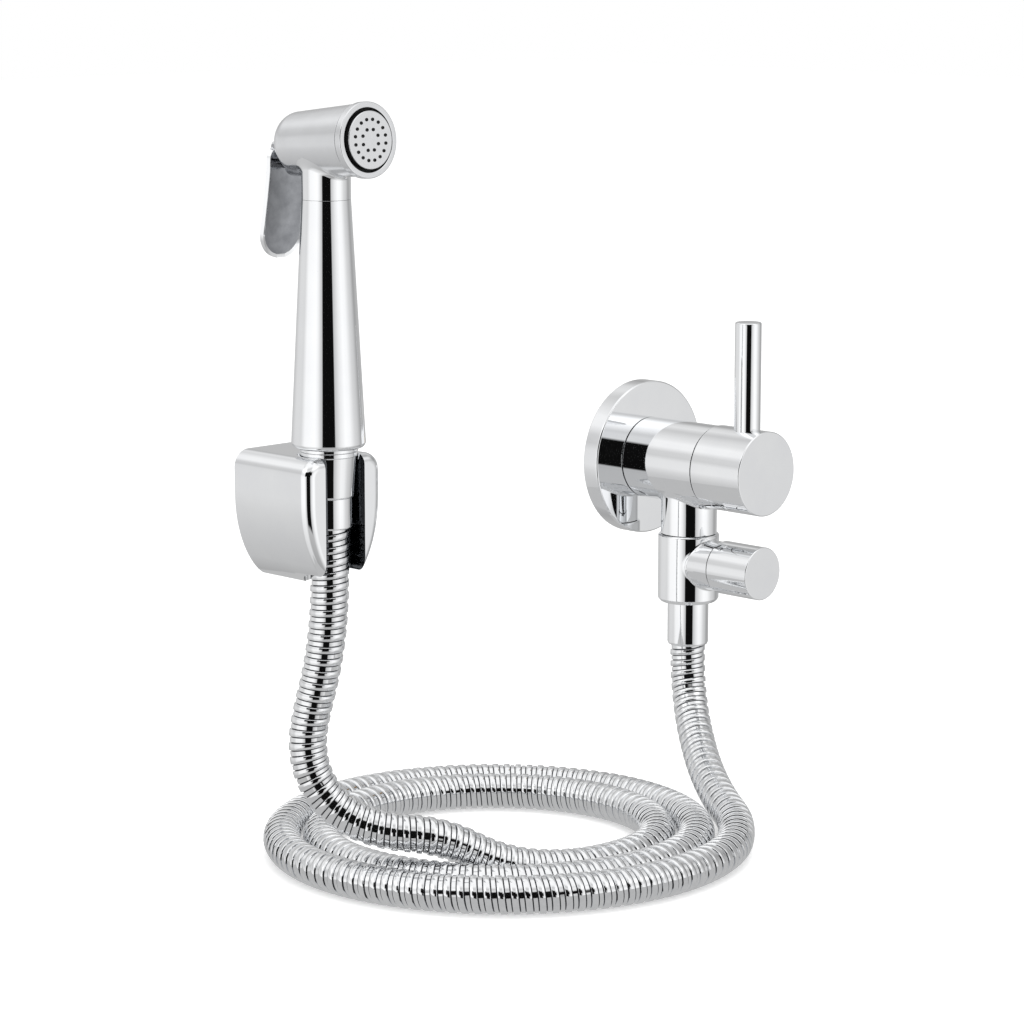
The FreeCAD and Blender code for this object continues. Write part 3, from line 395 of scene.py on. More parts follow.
# black cards, softly edged: a tall one round the camera, and two higher up to its left and
# right, which the front of the coil mirrors
blackCards = [
    {"across": [(-16.5, 0), (-15.0, 1), (23.2, 1), (24.8, 0)],
     "upwards": [(-0.41, 0), (-0.36, 1), (0.35, 1), (0.40, 0)]},
    {"across": [(-36, 0), (-33, 1), (23.2, 1), (24.8, 0)],
     "upwards": [(0.10, 0), (0.14, 1), (0.50, 1), (0.56, 0)]},
    {"across": [(20, 0), (22, 1), (37, 1), (40, 0)],
     "upwards": [(0.10, 0), (0.14, 1), (0.38, 1), (0.43, 0)]},
]
cardTone = (0.003, 0.003, 0.003, 1)
# the room's strength in metal, on matt surfaces and for the camera
brightness = {"mirrored": 1.40, "matt": 0.85, "seen": 1.0}


def setWorld():
    world = bpy.data.worlds.new("white studio")
    bpy.context.scene.world = world
    world.use_nodes = True
    tree = world.node_tree
    tree.nodes.clear()
    where = addNode(tree, "ShaderNodeTexCoord")
    # turned so that its own +X looks at the camera's side of the room
    facing = addNode(tree, "ShaderNodeMapping",
                     {"Rotation": (0, 0, -math.radians(270 + shot["azimuth"]))},
                     {"Vector": where.outputs["Generated"]})
    split = addNode(tree, "ShaderNodeSeparateXYZ", links={0: facing.outputs[0]})
    angle = addNode(tree, "ShaderNodeMath", {"operation": "ARCTAN2"},
                    {0: split.outputs["Y"], 1: split.outputs["X"]})
    turn = addNode(tree, "ShaderNodeMapRange",
                   {"From Min": -math.pi, "From Max": math.pi, "To Min": 0.0, "To Max": 1.0},
                   {"Value": angle.outputs[0]})
    rise = addNode(tree, "ShaderNodeMapRange",
                   {"From Min": -1.0, "From Max": 1.0, "To Min": 0.0, "To Max": 1.0},
                   {"Value": split.outputs["Z"]})
    circle = addNode(tree, "ShaderNodeValToRGB", links={"Fac": turn.outputs["Result"]})
    setStops(circle, [(azimuth / 360 + 0.5, tone) for azimuth, tone in surround])
    height = addNode(tree, "ShaderNodeValToRGB", links={"Fac": rise.outputs["Result"]})
    setStops(height, [(sine / 2 + 0.5, tone) for sine, tone in tiers])
    grey = ("#000000", "#FFFFFF")
    black = None
    for card in blackCards:
        across = addNode(tree, "ShaderNodeValToRGB", links={"Fac": turn.outputs["Result"]})
        setStops(across, [(azimuth / 360 + 0.5, grey[full]) for azimuth, full in card["across"]])
        upwards = addNode(tree, "ShaderNodeValToRGB", links={"Fac": rise.outputs["Result"]})
        setStops(upwards, [(sine / 2 + 0.5, grey[full]) for sine, full in card["upwards"]])
        covered = addNode(tree, "ShaderNodeMath", {"operation": "MULTIPLY"},
                          {0: across.outputs["Color"], 1: upwards.outputs["Color"]})
        if black:
            covered = addNode(tree, "ShaderNodeMath", {"operation": "MAXIMUM"},
                              {0: black.outputs[0], 1: covered.outputs[0]})
        black = covered
    room = addNode(tree, "ShaderNodeMix", {"data_type": "RGBA", "blend_type": "MULTIPLY", 0: 1.0},
                   {6: circle.outputs["Color"], 7: height.outputs["Color"]})
    zenith = addNode(tree, "ShaderNodeValToRGB", links={"Fac": rise.outputs["Result"]})
    setStops(zenith, [(sine / 2 + 0.5, grey[full]) for sine, full in overhead])
    lid = addNode(tree, "ShaderNodeMix", {"data_type": "RGBA", 7: linear(overheadTone)},
                  {0: zenith.outputs["Color"], 6: room.outputs[2]})
    seen = addNode(tree, "ShaderNodeMix", {"data_type": "RGBA", 7: cardTone},
                   {0: black.outputs[0], 6: lid.outputs[2]})
    mirrored = addNode(tree, "ShaderNodeBackground", {"Strength": brightness["mirrored"]},
                       {"Color": seen.outputs[2]})
    plain = addNode(tree, "ShaderNodeBackground",
                    {"Color": (1, 1, 1, 1), "Strength": brightness["matt"]})
    white = addNode(tree, "ShaderNodeBackground",
                    {"Color": (1, 1, 1, 1), "Strength": brightness["seen"]})
    rays = addNode(tree, "ShaderNodeLightPath")
    first = addNode(tree, "ShaderNodeMixShader", links={0: rays.outputs["Is Glossy Ray"]})
    tree.links.new(plain.outputs[0], first.inputs[1])
    tree.links.new(mirrored.outputs[0], first.inputs[2])
    second = addNode(tree, "ShaderNodeMixShader", links={0: rays.outputs["Is Camera Ray"]})
    tree.links.new(first.outputs[0], second.inputs[1])
    tree.links.new(white.outputs[0], second.inputs[2])
    addNode(tree, "ShaderNodeOutputWorld", links={"Surface": second.outputs[0]})
    print("world set")


lampTarget = (-0.1, -0.05, 0)
lamps = {
    # name: place, size, watts
    "overheadSoftbox": ((-0.1, -0.2, 1.5), 1.2, 9.0),
    "frontSoftbox": ((-1.3, -1.4, 1.2), 1.0, 6.0),
}


def setLamps():
    for name, (place, size, watts) in lamps.items():
        pickNothing()
        bpy.ops.object.light_add(type="AREA", location=place)
        lamp = bpy.context.object
        lamp.name = name
        lamp.data.size = size
        lamp.data.energy = watts
        aim = Vector(lampTarget) - lamp.location
        lamp.rotation_euler = aim.to_track_quat("-Z", "Y").to_euler()
        lamp.visible_glossy = False
    print("lamps set")


# the hose: one ribbed tube along the route, with its strip wound in a helix

hose = {
    "diameter": 15.5 * mm,
    "pitch": 5.0 * mm,      # one raised and one sunken band of the strip
    "sides": 28,
    # share of the pitch, depth below the crest in mm
    "strip": [(0.0, 1.05), (0.075, 1.05), (0.085, 0.12), (0.115, 0.0), (0.54, 0.0), (0.57, 0.12),
              (0.58, 1.05), (0.665, 1.05), (0.675, 0.5), (0.99, 0.5)],
    "shadeDepth": 1.0,    # deeper than this, in mm, the grooves take the dark steel that paints their shade
}

# the route's points, in mm: from the hand spray down to the coil, the spiral
# on the floor, and up to the valve
sprayEnd = (-214.2, -34, -1.2)
sprayRun = [
    (-214.2, -34, -9.5), (-214.2, -34, -22), (-214.5, -33.6, -36), (-215.5, -32.4, -50),
    (-217.2, -30.5, -63.5), (-219.3, -27.9, -76.3), (-220.8, -26.4, -89.5),
    (-219.4, -28.4, -102.8), (-214.8, -34, -113.8), (-207.9, -42.4, -121.2),
    (-199.3, -52.3, -124.8), (-189.8, -61.5, -126), (-178.8, -68.8, -130),
    (-167.7, -76.6, -137.6), (-154.4, -86.8, -142.4),
]
valveRun = [
    (-55.4, -110.9, -142.9), (-43.4, -99.2, -140.9), (-34.6, -84, -138), (-25.6, -69.6, -133.4),
    (-18, -58, -127.6), (-11.5, -48.8, -121), (-6.6, -41.8, -114), (-3, -36.7, -106),
    (-0.8, -33.5, -97), (0, -32.3, -88),
]
valveEnd = (0, -32.3, -81.2)
coil = {
    "centre": (-122.4, -36.8, -143.1),
    "radius": 66.9,
    "pitch": 16.8,      # how far the spiral widens in a turn
    "oval": 0.965,      # how much narrower it is across
    "lie": -45,         # degrees that the oval is turned by
    "from": -60, "to": 705, "step": 15,    # degrees along the spiral
}


def hoseRoute():
    turns = []
    lie = Matrix.Rotation(math.radians(coil["lie"]), 3, "Z")
    for degrees in range(coil["from"], coil["to"] + 1, coil["step"]):
        radius = coil["radius"] + coil["pitch"] * degrees / 360
        angle = math.radians(degrees)
        across = Vector((radius * math.cos(angle),
                         radius * math.sin(angle) * coil["oval"], 0))
        turns.append(Vector(coil["centre"]) + lie @ across)
    points = [sprayEnd, *sprayRun, *turns, *valveRun, valveEnd]
    return [Vector(point) * mm for point in points]


def routeLine(points):
    # the smooth line that the hose follows, read from its spline
    curve = bpy.data.curves.new("hoseRoute", "CURVE")
    curve.dimensions = "3D"
    curve.resolution_u = 16
    spline = curve.splines.new("NURBS")
    spline.points.add(len(points) - 1)
    for slot, point in zip(spline.points, points):
        slot.co = (*point, 1.0)
    spline.order_u = 3
    spline.use_endpoint_u = True
    carrier = bpy.data.objects.new("hoseRoute", curve)
    bpy.context.scene.collection.objects.link(carrier)
    bpy.context.view_layer.update()
    line = bpy.data.meshes.new_from_object(carrier)
    path = [vertex.co.copy() for vertex in line.vertices]
    bpy.data.objects.remove(carrier)
    bpy.data.meshes.remove(line)
    return path


def carriedFrames(path):
    # running length, and a side direction that turns with the path as little as it can
    lengths = [0.0]
    for a, b in zip(path, path[1:]):
        lengths.append(lengths[-1] + (b - a).length)
    sides = []
    side = Vector((1, 0, 0))
    for i in range(len(path)):
        along = (path[min(i + 1, len(path) - 1)] - path[max(i - 1, 0)]).normalized()
        side = (side - along * side.dot(along)).normalized()
        sides.append((along, side.copy()))
    return lengths, sides


def makeHose():
    path = routeLine(hoseRoute())
    lengths, sides = carriedFrames(path)
    total = lengths[-1]
    crest = hose["diameter"] / 2
    count = hose["sides"]
    turns = math.ceil(total / hose["pitch"]) + 1
    stations = [(turn + share, depth) for turn in range(-1, turns)
                for share, depth in hose["strip"]]
    vertices = []
    stretch = 0

    def onPath(length):
        # the stretch of the path is kept from the last call, because rows run in order
        nonlocal stretch
        while stretch < len(path) - 2 and lengths[stretch + 1] < length:
            stretch += 1
        while stretch > 0 and lengths[stretch] > length:
            stretch -= 1
        i = stretch
        t = (length - lengths[i]) / max(lengths[i + 1] - lengths[i], 1e-12)
        point = path[i].lerp(path[i + 1], t)
        along = sides[i][0].lerp(sides[i + 1][0], t).normalized()
        side = sides[i][1].lerp(sides[i + 1][1], t)
        side = (side - along * side.dot(along)).normalized()
        return point, along, side

    for station, depth in stations:
        radius = crest - depth * mm
        for j in range(count):
            length = (station + j / count) * hose["pitch"]
            length = min(max(length, 0.0), total)
            point, along, side = onPath(length)
            angle = 2 * math.pi * j / count
            outward = side * math.cos(angle) + along.cross(side) * math.sin(angle)
            vertices.append(point + outward * radius)
    rows = len(stations)
    perTurn = len(hose["strip"])
    faces = []
    dark = []
    for k in range(rows - 1):
        deep = min(stations[k][1], stations[k + 1][1]) > hose["shadeDepth"]
        for j in range(count):
            if j + 1 < count:
                face = (k * count + j, k * count + j + 1,
                        (k + 1) * count + j + 1, (k + 1) * count + j)
            elif k + 1 + perTurn < rows:
                face = (k * count + j, (k + perTurn) * count,
                        (k + 1 + perTurn) * count, (k + 1) * count + j)
            else:
                continue
            faces.append(face)
            dark.append(deep)
    mesh = bpy.data.meshes.new("ribbedHose")
    mesh.from_pydata(vertices, [], faces)
    # faces deep in the grooves take a dark steel: painted shade where the grooves fall in shadow
    mesh.materials.append(materials["chromed steel strip"])
    mesh.materials.append(materials["groove steel, painted shade"])
    for polygon, deep in zip(mesh.polygons, dark):
        polygon.material_index = 1 if deep else 0
    piece = bpy.data.objects.new("ribbedHose", mesh)
    bpy.context.scene.collection.objects.link(piece)
    pick(piece)
    bpy.ops.object.mode_set(mode="EDIT")
    toAll(bpy.ops.mesh.remove_doubles, threshold=2e-6)
    toAll(bpy.ops.mesh.dissolve_degenerate, threshold=1e-6)
    toAll(bpy.ops.mesh.fill_holes, sides=0)
    toAll(bpy.ops.mesh.normals_make_consistent, inside=False)
    bpy.ops.object.mode_set(mode="OBJECT")
    bpy.ops.object.shade_smooth_by_angle(angle=math.radians(50))
    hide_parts("hose_riser_spray", "hose_coil", "hose_riser_valve")
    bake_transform(piece)
    print("hose made, %.0f mm long, %d faces" % (total / mm, len(piece.data.polygons)))


# wall valve, in mm: depths run along y from the wall, levels along z

gapToKnob = 0.22    # how far each side of a turning joint is set back
hairline = 0.01     # keeps a hidden face just off the wall or the flange
branch = {"depth": -32.3, "level": -31}    # where the neck ends in the stop body
hoseSocket = {"radius": 7.9, "depth": 2}
flange = {"edge": 1.2, "wall": 1.6, "boreGap": 0.2}
barrel = {
    "wall": 3.5, "edge": 0.16,
    "gapToFlange": 0.35, "gapDepth": 1.2,    # the parting line beside the flange
    "boreEnd": 9.4, "coneEnd": 17.2,         # the bore widens between these
}
neck = {"radius": 12.4, "fillet": 1.6, "reach": 12}
stopTrunk = {
    "socket": 9.5, "socketDepth": 7,         # takes the neck
    "parting": 0.3, "topChamfer": (0.5, 0.9), "footChamfer": (1.3, 1.5), "edge": 0.3,
    "outlet": 7.05, "outletDepth": 8.5,
}
stopStub = {"radius": 11, "fillet": 0.8, "level": -44, "reach": 15, "wall": 2.6}
leverKnob = {"wall": 3.2, "depth": 7.8, "edge": 0.55, "sides": 128}
leverPin = {"foot": 15.4, "edge": 0.7}
stopKnob = {"wall": 2.4, "depth": 4.6, "edge": 0.5, "sides": 112}
valveFerrule = {"top": -61.7, "bore": 7, "boreDepth": 7, "chamfer": (0.5, 1.2), "edge": 0.3}


def makeValve():
    low, high = extent("wall_flange")[:2]
    radius = (high.x - low.x) / 2
    thick = -low.y
    wall = flange["wall"] * mm
    back = hairline * mm
    nipple = extent("inlet_nipple")
    bore = (nipple[1].x - nipple[0].x) / 2 + flange["boreGap"] * mm
    piece = turned("wallFlange", [
        (bore, thick - wall), (bore, thick), (radius, thick), (radius, back),
        (radius - wall, back), (radius - wall, thick - wall), (bore, thick - wall)],
        turn=fromWall, sides=160, bevel=flange["edge"] * mm, steps=4)
    dress(piece, chrome, "wall_set", "polished_chrome", "wall_flange")

    low, high = extent("valve_body")[:2]
    radius = high.x
    end = -low.y - gapToKnob * mm
    gapEnd = thick + barrel["gapToFlange"] * mm
    inner = radius - barrel["wall"] * mm
    grooved = radius - barrel["gapDepth"] * mm
    body = turned("valveBarrel", [
        (inner, end), (radius, end), (radius, gapEnd), (grooved, gapEnd),
        (grooved, thick + back), (bore, thick + back),
        (bore, thick + barrel["boreEnd"] * mm), (inner, thick + barrel["coneEnd"] * mm),
        (inner, end)],
        turn=fromWall, sides=128, bevel=barrel["edge"] * mm, steps=2)
    pipe = flared("valveNeck", body, neck["radius"] * mm, neck["fillet"] * mm,
                  (0, branch["depth"] * mm, branch["level"] * mm), up, neck["reach"] * mm)
    piece = joined("valveBody", body, pipe)
    dress(piece, chrome, "wall_set", "polished_chrome", "valve_body")

    makeStopBody()
    makeKnob("leverKnob", "lever_knob", leverKnob, 0, "main_lever")

    low, high, middle = extent("lever_pin")
    piece = turned("leverPin", [(high.x, leverPin["foot"] * mm), (high.x, high.z)],
                   base=(0, middle.y, 0), sides=72, bevel=leverPin["edge"] * mm, steps=4)
    dress(piece, chrome, "main_lever", "polished_chrome", "lever_pin")

    makeKnob("stopKnob", "stop_knob", stopKnob, extent("stop_knob")[2].z, "stop_handle")

    low, high, middle = extent("hose_end_valve")
    radius, top = high.x, valveFerrule["top"] * mm
    bore = valveFerrule["bore"] * mm
    inward, rise = valveFerrule["chamfer"]
    socket = hoseSocket["radius"] * mm
    piece = turned("valveFerrule", [
        (bore, top + valveFerrule["boreDepth"] * mm), (bore, top), (radius, top),
        (radius, low.z + rise * mm), (radius - inward * mm, low.z), (socket, low.z),
        (socket, low.z + hoseSocket["depth"] * mm)],
        base=(0, middle.y, 0), sides=80, bevel=valveFerrule["edge"] * mm, steps=3)
    dress(piece, chrome, "wall_set", "polished_chrome", "hose_end_valve")
    print("valve made")


def makeStopBody():
    low, high = extent("stop_body")[:2]
    radius = high.x
    top, bottom = branch["level"] * mm, low.z
    lip = top - stopTrunk["parting"] * mm
    socket, outlet = stopTrunk["socket"] * mm, stopTrunk["outlet"] * mm
    topIn, topDrop = stopTrunk["topChamfer"]
    footIn, footRise = stopTrunk["footChamfer"]
    trunk = turned("stopTrunk", [
        (socket, top + stopTrunk["socketDepth"] * mm), (socket, lip),
        (radius - topIn * mm, lip), (radius, top - topDrop * mm),
        (radius, bottom + footRise * mm), (radius - footIn * mm, bottom),
        (outlet, bottom), (outlet, bottom + stopTrunk["outletDepth"] * mm)],
        base=(0, branch["depth"] * mm, 0), sides=112, bevel=stopTrunk["edge"] * mm, steps=3)
    stub = flared("stopStub", trunk, stopStub["radius"] * mm, stopStub["fillet"] * mm,
                  (0, low.y + gapToKnob * mm, stopStub["level"] * mm), toWall,
                  stopStub["reach"] * mm, wall=stopStub["wall"] * mm)
    piece = joined("stopBody", trunk, stub)
    dress(piece, chrome, "wall_set", "polished_chrome", "stop_body")


def makeKnob(name, node, knob, level, body):
    # a hollow cap, set just off the part that it turns on
    low, high = extent(node)[:2]
    radius, inner = high.x, high.x - knob["wall"] * mm
    near, far = -high.y + gapToKnob * mm, -low.y
    piece = turned(name, [
        (inner, near + knob["depth"] * mm), (inner, near), (radius, near), (radius, far)],
        base=(0, 0, level), turn=fromWall, sides=knob["sides"], bevel=knob["edge"] * mm,
        steps=4)
    dress(piece, chrome, body, "polished_chrome", node)


def flared(name, carrier, radius, flare, end, turn, reach, wall=0.0):
    # a branch that grows out of the carrier with a small round fillet: rings near
    # the carrier are set down on its surface
    rings = 6
    outline = [(radius, 0.0), (radius, reach * 0.5), (radius, reach * 0.8)]
    for i in range(rings + 1):
        angle = math.pi / 2 * i / rings
        outline.append((radius + flare * (1 - math.cos(angle)), reach + flare * i / rings))
    if wall:
        outline = [(radius - wall, 4 * mm), (radius - wall, 0.0)] + outline
    piece = turned(name, outline, base=end, turn=turn, sides=112)
    spin = turnMatrix(turn)
    away = spin @ Vector((0, 0, 1))
    origin = Vector(end)
    for vertex in piece.data.vertices:
        local = spin.inverted() @ (vertex.co - origin)
        if local.z < reach - 1e-6:
            continue
        step = round((local.z - reach) / flare * rings)
        drop = flare * (1 - math.sin(math.pi / 2 * step / rings))
        start = origin + spin @ Vector((local.x, local.y, 0.2 * mm))
        hit, where = carrier.ray_cast(start, away)[:2]
        if hit:
            depth = (where - origin).dot(away)
            vertex.co = origin + spin @ Vector((local.x, local.y, depth - drop))
    pick(piece)
    bpy.ops.object.shade_smooth_by_angle(angle=math.radians(38))
    return piece


# hand spray, in mm; what "in" says is taken off the solid's radius

sprayFerrule = {
    "footRadius": 8.8, "radius": 9.2, "footRise": 0.8,
    "gapToNut": 0.05, "tail": 6.2, "tailRise": 6,    # the tail runs up inside the nut
}
coneNut = {
    "bore": 6.25, "footRadius": 9.7, "radius": 9.9, "footRise": 0.8,
    "coneIn": 1.0, "collarIn": 0.5, "collar": 2,
    "gapToRing": 0.2, "mouth": 10.2,
}
handleRing = {"bore": 9.4, "in": 0.4, "gap": 0.15, "rise": 2}
handle = {
    "bore": 10.5, "footRound": 2.4, "footIn": 2.6,
    "topRadius": 9.65, "topWall": 1.6,
}
head = {
    "tilt": 4,                                   # degrees that it looks upwards
    "level": 150.4, "back": 21.5, "front": 21.4,    # from its middle to either end
    "backRadius": 12, "frontRadius": 14.15, "length": 42.55, "dome": 8,
    "lip": 0.25, "lipDepth": 2.2, "stem": 0.3, "stemIn": 3,    # under the bezel
    "neckFillet": 2.0, "neckReach": 7,
}
triggerBoss = {"radius": 4.5, "from": 10, "to": 19.5, "level": 140.8, "edge": 0.5}
bezel = {"inner": 12.3, "outer": 14.7, "back": 0.02, "front": 3.2, "edge": 0.4}
bezelSeal = {"inner": 12, "outer": 13.85, "back": -0.55, "front": 0.1}
nozzle = {
    "radius": 11.15, "face": 4.45, "thickness": 0.75,
    "core": 12.35, "coreBack": 0.3, "coreFront": 1.2,
    "rings": [(7.9, 16), (4.2, 8)],    # radius, and how many jets
    # radius and height over the face
    "tip": [(0.75, -0.2), (0.62, 0.3), (0.34, 0.34), (0.28, 0.08)],
}


def makeSpray():
    low, high, middle = extent("handle_tube")
    axis = (middle.x, middle.y, 0)
    foot, top = low.z, high.z
    handleRadius = (high.x - low.x) / 2

    low = extent("hose_end_spray")[0]
    nutLow, nutHigh = extent("cone_nut")[:2]
    socket = hoseSocket["radius"] * mm
    radius, tail = sprayFerrule["radius"] * mm, sprayFerrule["tail"] * mm
    end = nutLow.z - sprayFerrule["gapToNut"] * mm
    piece = turned("sprayFerrule", [
        (socket, low.z + hoseSocket["depth"] * mm), (socket, low.z),
        (sprayFerrule["footRadius"] * mm, low.z),
        (radius, low.z + sprayFerrule["footRise"] * mm), (radius, end),
        (tail, end), (tail, nutLow.z + sprayFerrule["tailRise"] * mm)],
        base=axis, sides=80, bevel=0.3 * mm, steps=3)
    dress(piece, chrome, "spray_hose_end", "polished_chrome", "hose_end_spray")

    wide = (nutHigh.x - nutLow.x) / 2
    collarLow = nutHigh.z - coneNut["collar"] * mm
    collarHigh = nutHigh.z - coneNut["gapToRing"] * mm
    collarRadius = wide - coneNut["collarIn"] * mm
    piece = turned("coneNut", [
        (coneNut["bore"] * mm, nutLow.z), (coneNut["footRadius"] * mm, nutLow.z),
        (coneNut["radius"] * mm, nutLow.z + coneNut["footRise"] * mm),
        (wide - coneNut["coneIn"] * mm, collarLow), (collarRadius, collarLow),
        (collarRadius, collarHigh), (coneNut["mouth"] * mm, collarHigh)],
        base=axis, sides=96, bevel=0.25 * mm, steps=3)
    dress(piece, chrome, "hand_spray", "polished_chrome", "cone_nut")
    bore, radius = handleRing["bore"] * mm, wide - handleRing["in"] * mm
    ringLow = nutHigh.z - handleRing["gap"] * mm
    ringHigh = nutHigh.z + handleRing["rise"] * mm
    piece = turned("handleRing", [
        (bore, ringLow), (radius, ringLow), (radius, ringHigh), (bore, ringHigh),
        (bore, ringLow)],
        base=axis, sides=96, bevel=0.25 * mm, steps=3)
    dress(piece, chrome, "hand_spray", "polished_chrome")

    topRadius, footRound = handle["topRadius"] * mm, handle["footRound"] * mm
    roundEdge = arc((handleRadius - handle["footIn"] * mm, foot + footRound), footRound,
                    -90, -3, 7)
    piece = turned("handleTube", [(handle["bore"] * mm, foot)] + roundEdge + [
        (topRadius, top), (topRadius - handle["topWall"] * mm, top)],
        base=axis, sides=128, bevel=0.2 * mm, steps=2)
    dress(piece, chrome, "hand_spray", "polished_chrome", "handle_tube")
    makeHead(middle, top)
    print("hand spray made")


def makeHead(middle, neckLevel):
    headTurn = (math.pi / 2 - math.radians(head["tilt"]), 0, 0)
    centre = Vector((middle.x, middle.y, head["level"] * mm))
    along = turnMatrix(headTurn) @ Vector((0, 0, 1))
    wide, length, dome = (head[key] * mm for key in ("frontRadius", "length", "dome"))
    lip = wide - head["lipDepth"] * mm
    rear = arc((head["backRadius"] * mm - dome + 0.2 * mm, dome), dome, -90, 0, 12)
    barrelPiece = turned("headBarrel", rear + [
        (wide, length - head["lip"] * mm), (lip, length - head["lip"] * mm),
        (lip, length + head["stem"] * mm),
        (wide - head["stemIn"] * mm, length + head["stem"] * mm)],
        base=centre - along * (head["back"] * mm), turn=headTurn, sides=128,
        bevel=0.2 * mm, steps=2)
    neckPiece = flared("headNeck", barrelPiece, handle["topRadius"] * mm,
                       head["neckFillet"] * mm,
                       (middle.x, middle.y, neckLevel + 0.04 * mm), up,
                       head["neckReach"] * mm)
    radius = triggerBoss["radius"] * mm
    boss = turned("triggerBoss", [
        (radius, triggerBoss["from"] * mm), (radius, triggerBoss["to"] * mm)],
        base=(middle.x, middle.y, triggerBoss["level"] * mm), turn=toWall, sides=64,
        bevel=triggerBoss["edge"] * mm)
    barrelPiece.data.materials.append(satin)
    neckPiece.data.materials.append(chrome)
    boss.data.materials.append(satin)
    piece = joined("headShell", barrelPiece, neckPiece, boss)
    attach(piece, "hand_spray")
    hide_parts("spray_head_shell")

    front = centre + along * head["front"] * mm
    piece = turned("headBezel", ringOutline(
        bezel["inner"], bezel["outer"], bezel["back"], bezel["front"]),
        base=front, turn=headTurn, sides=128, bevel=bezel["edge"] * mm, steps=4)
    dress(piece, satin, "hand_spray", "head_chrome", "spray_bezel")
    seal = turned("bezelSeal", ringOutline(
        bezelSeal["inner"], bezelSeal["outer"], bezelSeal["back"], bezelSeal["front"]),
        base=front, turn=headTurn, sides=96, bevel=0.1 * mm, steps=2)
    dress(seal, materials["nitrile rubber"], "hand_spray", "rubber")
    makeNozzles(front, headTurn)


def makeNozzles(front, headTurn):
    radius, face = nozzle["radius"] * mm, nozzle["face"] * mm
    outer, inner = nozzle["core"] * mm, radius - 0.15 * mm
    step = nozzle["coreFront"] * mm
    core = turned("nozzleCore", [
        (outer, nozzle["coreBack"] * mm), (outer, step), (inner, step),
        (inner, face - 0.7 * mm)],
        base=front, turn=headTurn, sides=112, bevel=0.1 * mm, steps=2)
    dress(core, materials["nitrile rubber"], "hand_spray", "rubber")
    plate = turned("nozzlePlate", [(radius, face - nozzle["thickness"] * mm), (radius, face)],
                   base=front, turn=headTurn, sides=112, bevel=0.3 * mm, steps=4)
    plate.data.materials.append(satin)
    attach(plate, "hand_spray")
    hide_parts("nozzle_plate")
    spin = turnMatrix(headTurn)
    tips = []
    for ring, count in nozzle["rings"]:
        ring *= mm
        for i in range(count):
            angle = 2 * math.pi * (i + 0.5) / count
            at = front + spin @ Vector((ring * math.cos(angle), ring * math.sin(angle), 0))
            tips.append(turned("jetTip", [
                (tip * mm, face + rise * mm) for tip, rise in nozzle["tip"]],
                base=at, turn=headTurn, sides=20))
    piece = joined("jetTips", *tips)
    dress(piece, materials["nitrile rubber"], "hand_spray", "rubber")


# trigger: a thin dished blade on a cross pin, in mm

blade = {
    "topHalf": 9.2, "endHalf": 10.6,    # half widths at the head and near the tip
    "taper": (0.18, 0.75),              # shares of the height: where it starts, its length
    "tipRound": 0.95,
    "inner": -10.7,                     # where the inner face stands by the head
    "sweep": 4.6, "sweepTo": 0.8,       # how far the tip swings out, and up to where
    "dish": 1.5,                        # the hollow across
    "thickness": 1.8, "tip": 2.0,       # the tip ends this much above the solid's
    "edge": 1.3, "sunk": 0.35,          # rim round the inner face, and its depth
    "top": 147.6, "topRound": 4.5,      # level of the upper end, and its corners
}
hinge = {"depth": -9.8, "level": 147.8}
knuckle = {"radius": 1.9, "half": 5.5}
crossPin = {"radius": 1.0, "half": 6.2}


def makeBlade(low, middle):
    bottom = low.z + blade["tip"] * mm
    height = blade["top"] * mm - bottom
    start, span = blade["taper"]
    corner = blade["topRound"] * mm
    pickNothing()
    bpy.ops.mesh.primitive_grid_add(x_subdivisions=16, y_subdivisions=44, size=1)
    piece = bpy.context.object
    piece.name = piece.data.name = "triggerBlade"
    for vertex in piece.data.vertices:
        across, fromEnd = vertex.co.x * 2, (vertex.co.y + 0.5) * height
        share = fromEnd / height
        half = (blade["endHalf"] + (blade["topHalf"] - blade["endHalf"])
                * min(max((share - start) / span, 0), 1)) * mm
        if fromEnd < half:
            half *= math.sqrt(max(1 - (1 - fromEnd / half) ** 2 * blade["tipRound"], 0.0))
        over = min(max(fromEnd - height + corner, 0), corner)
        half -= corner - math.sqrt(corner ** 2 - over ** 2)
        swing = max(0.0, (blade["sweepTo"] - share) / blade["sweepTo"])
        y = (blade["inner"] + blade["sweep"] * swing ** 1.2
             + blade["dish"] * (1 - across ** 2) * min(1, share * 3)) * mm
        vertex.co = (middle.x + across * half, y, bottom + fromEnd)
    applyModifier(piece, "SOLIDIFY", thickness=blade["thickness"] * mm, offset=0)
    piece.data.materials.append(chrome)
    piece.data.materials.append(materials["darkened steel, painted shade"])
    # the face towards the handle is sunk inside a rim and takes a darker steel, painted shade
    pick(piece)
    bpy.context.tool_settings.mesh_select_mode = (False, False, True)
    bpy.ops.object.mode_set(mode="EDIT")
    bpy.ops.mesh.select_all(action="DESELECT")
    bpy.ops.object.mode_set(mode="OBJECT")
    for polygon in piece.data.polygons:
        polygon.select = polygon.normal.y < -0.6
    bpy.ops.object.mode_set(mode="EDIT")
    bpy.ops.mesh.inset(thickness=blade["edge"] * mm, depth=-blade["sunk"] * mm)
    bpy.ops.object.mode_set(mode="OBJECT")
    for polygon in piece.data.polygons:
        polygon.material_index = 1 if polygon.select else 0
    bpy.context.tool_settings.mesh_select_mode = (True, False, False)
    return smoothed(piece, bevel=0.2 * mm, steps=3)


def crossRod(name, rod, middle, sides):
    half, radius = rod["half"] * mm, rod["radius"] * mm
    return turned(name, [(radius, -half), (radius, half)],
                  base=(middle.x, hinge["depth"] * mm, hinge["level"] * mm),
                  turn=(0, math.pi / 2, 0), sides=sides, bevel=0.3 * mm)


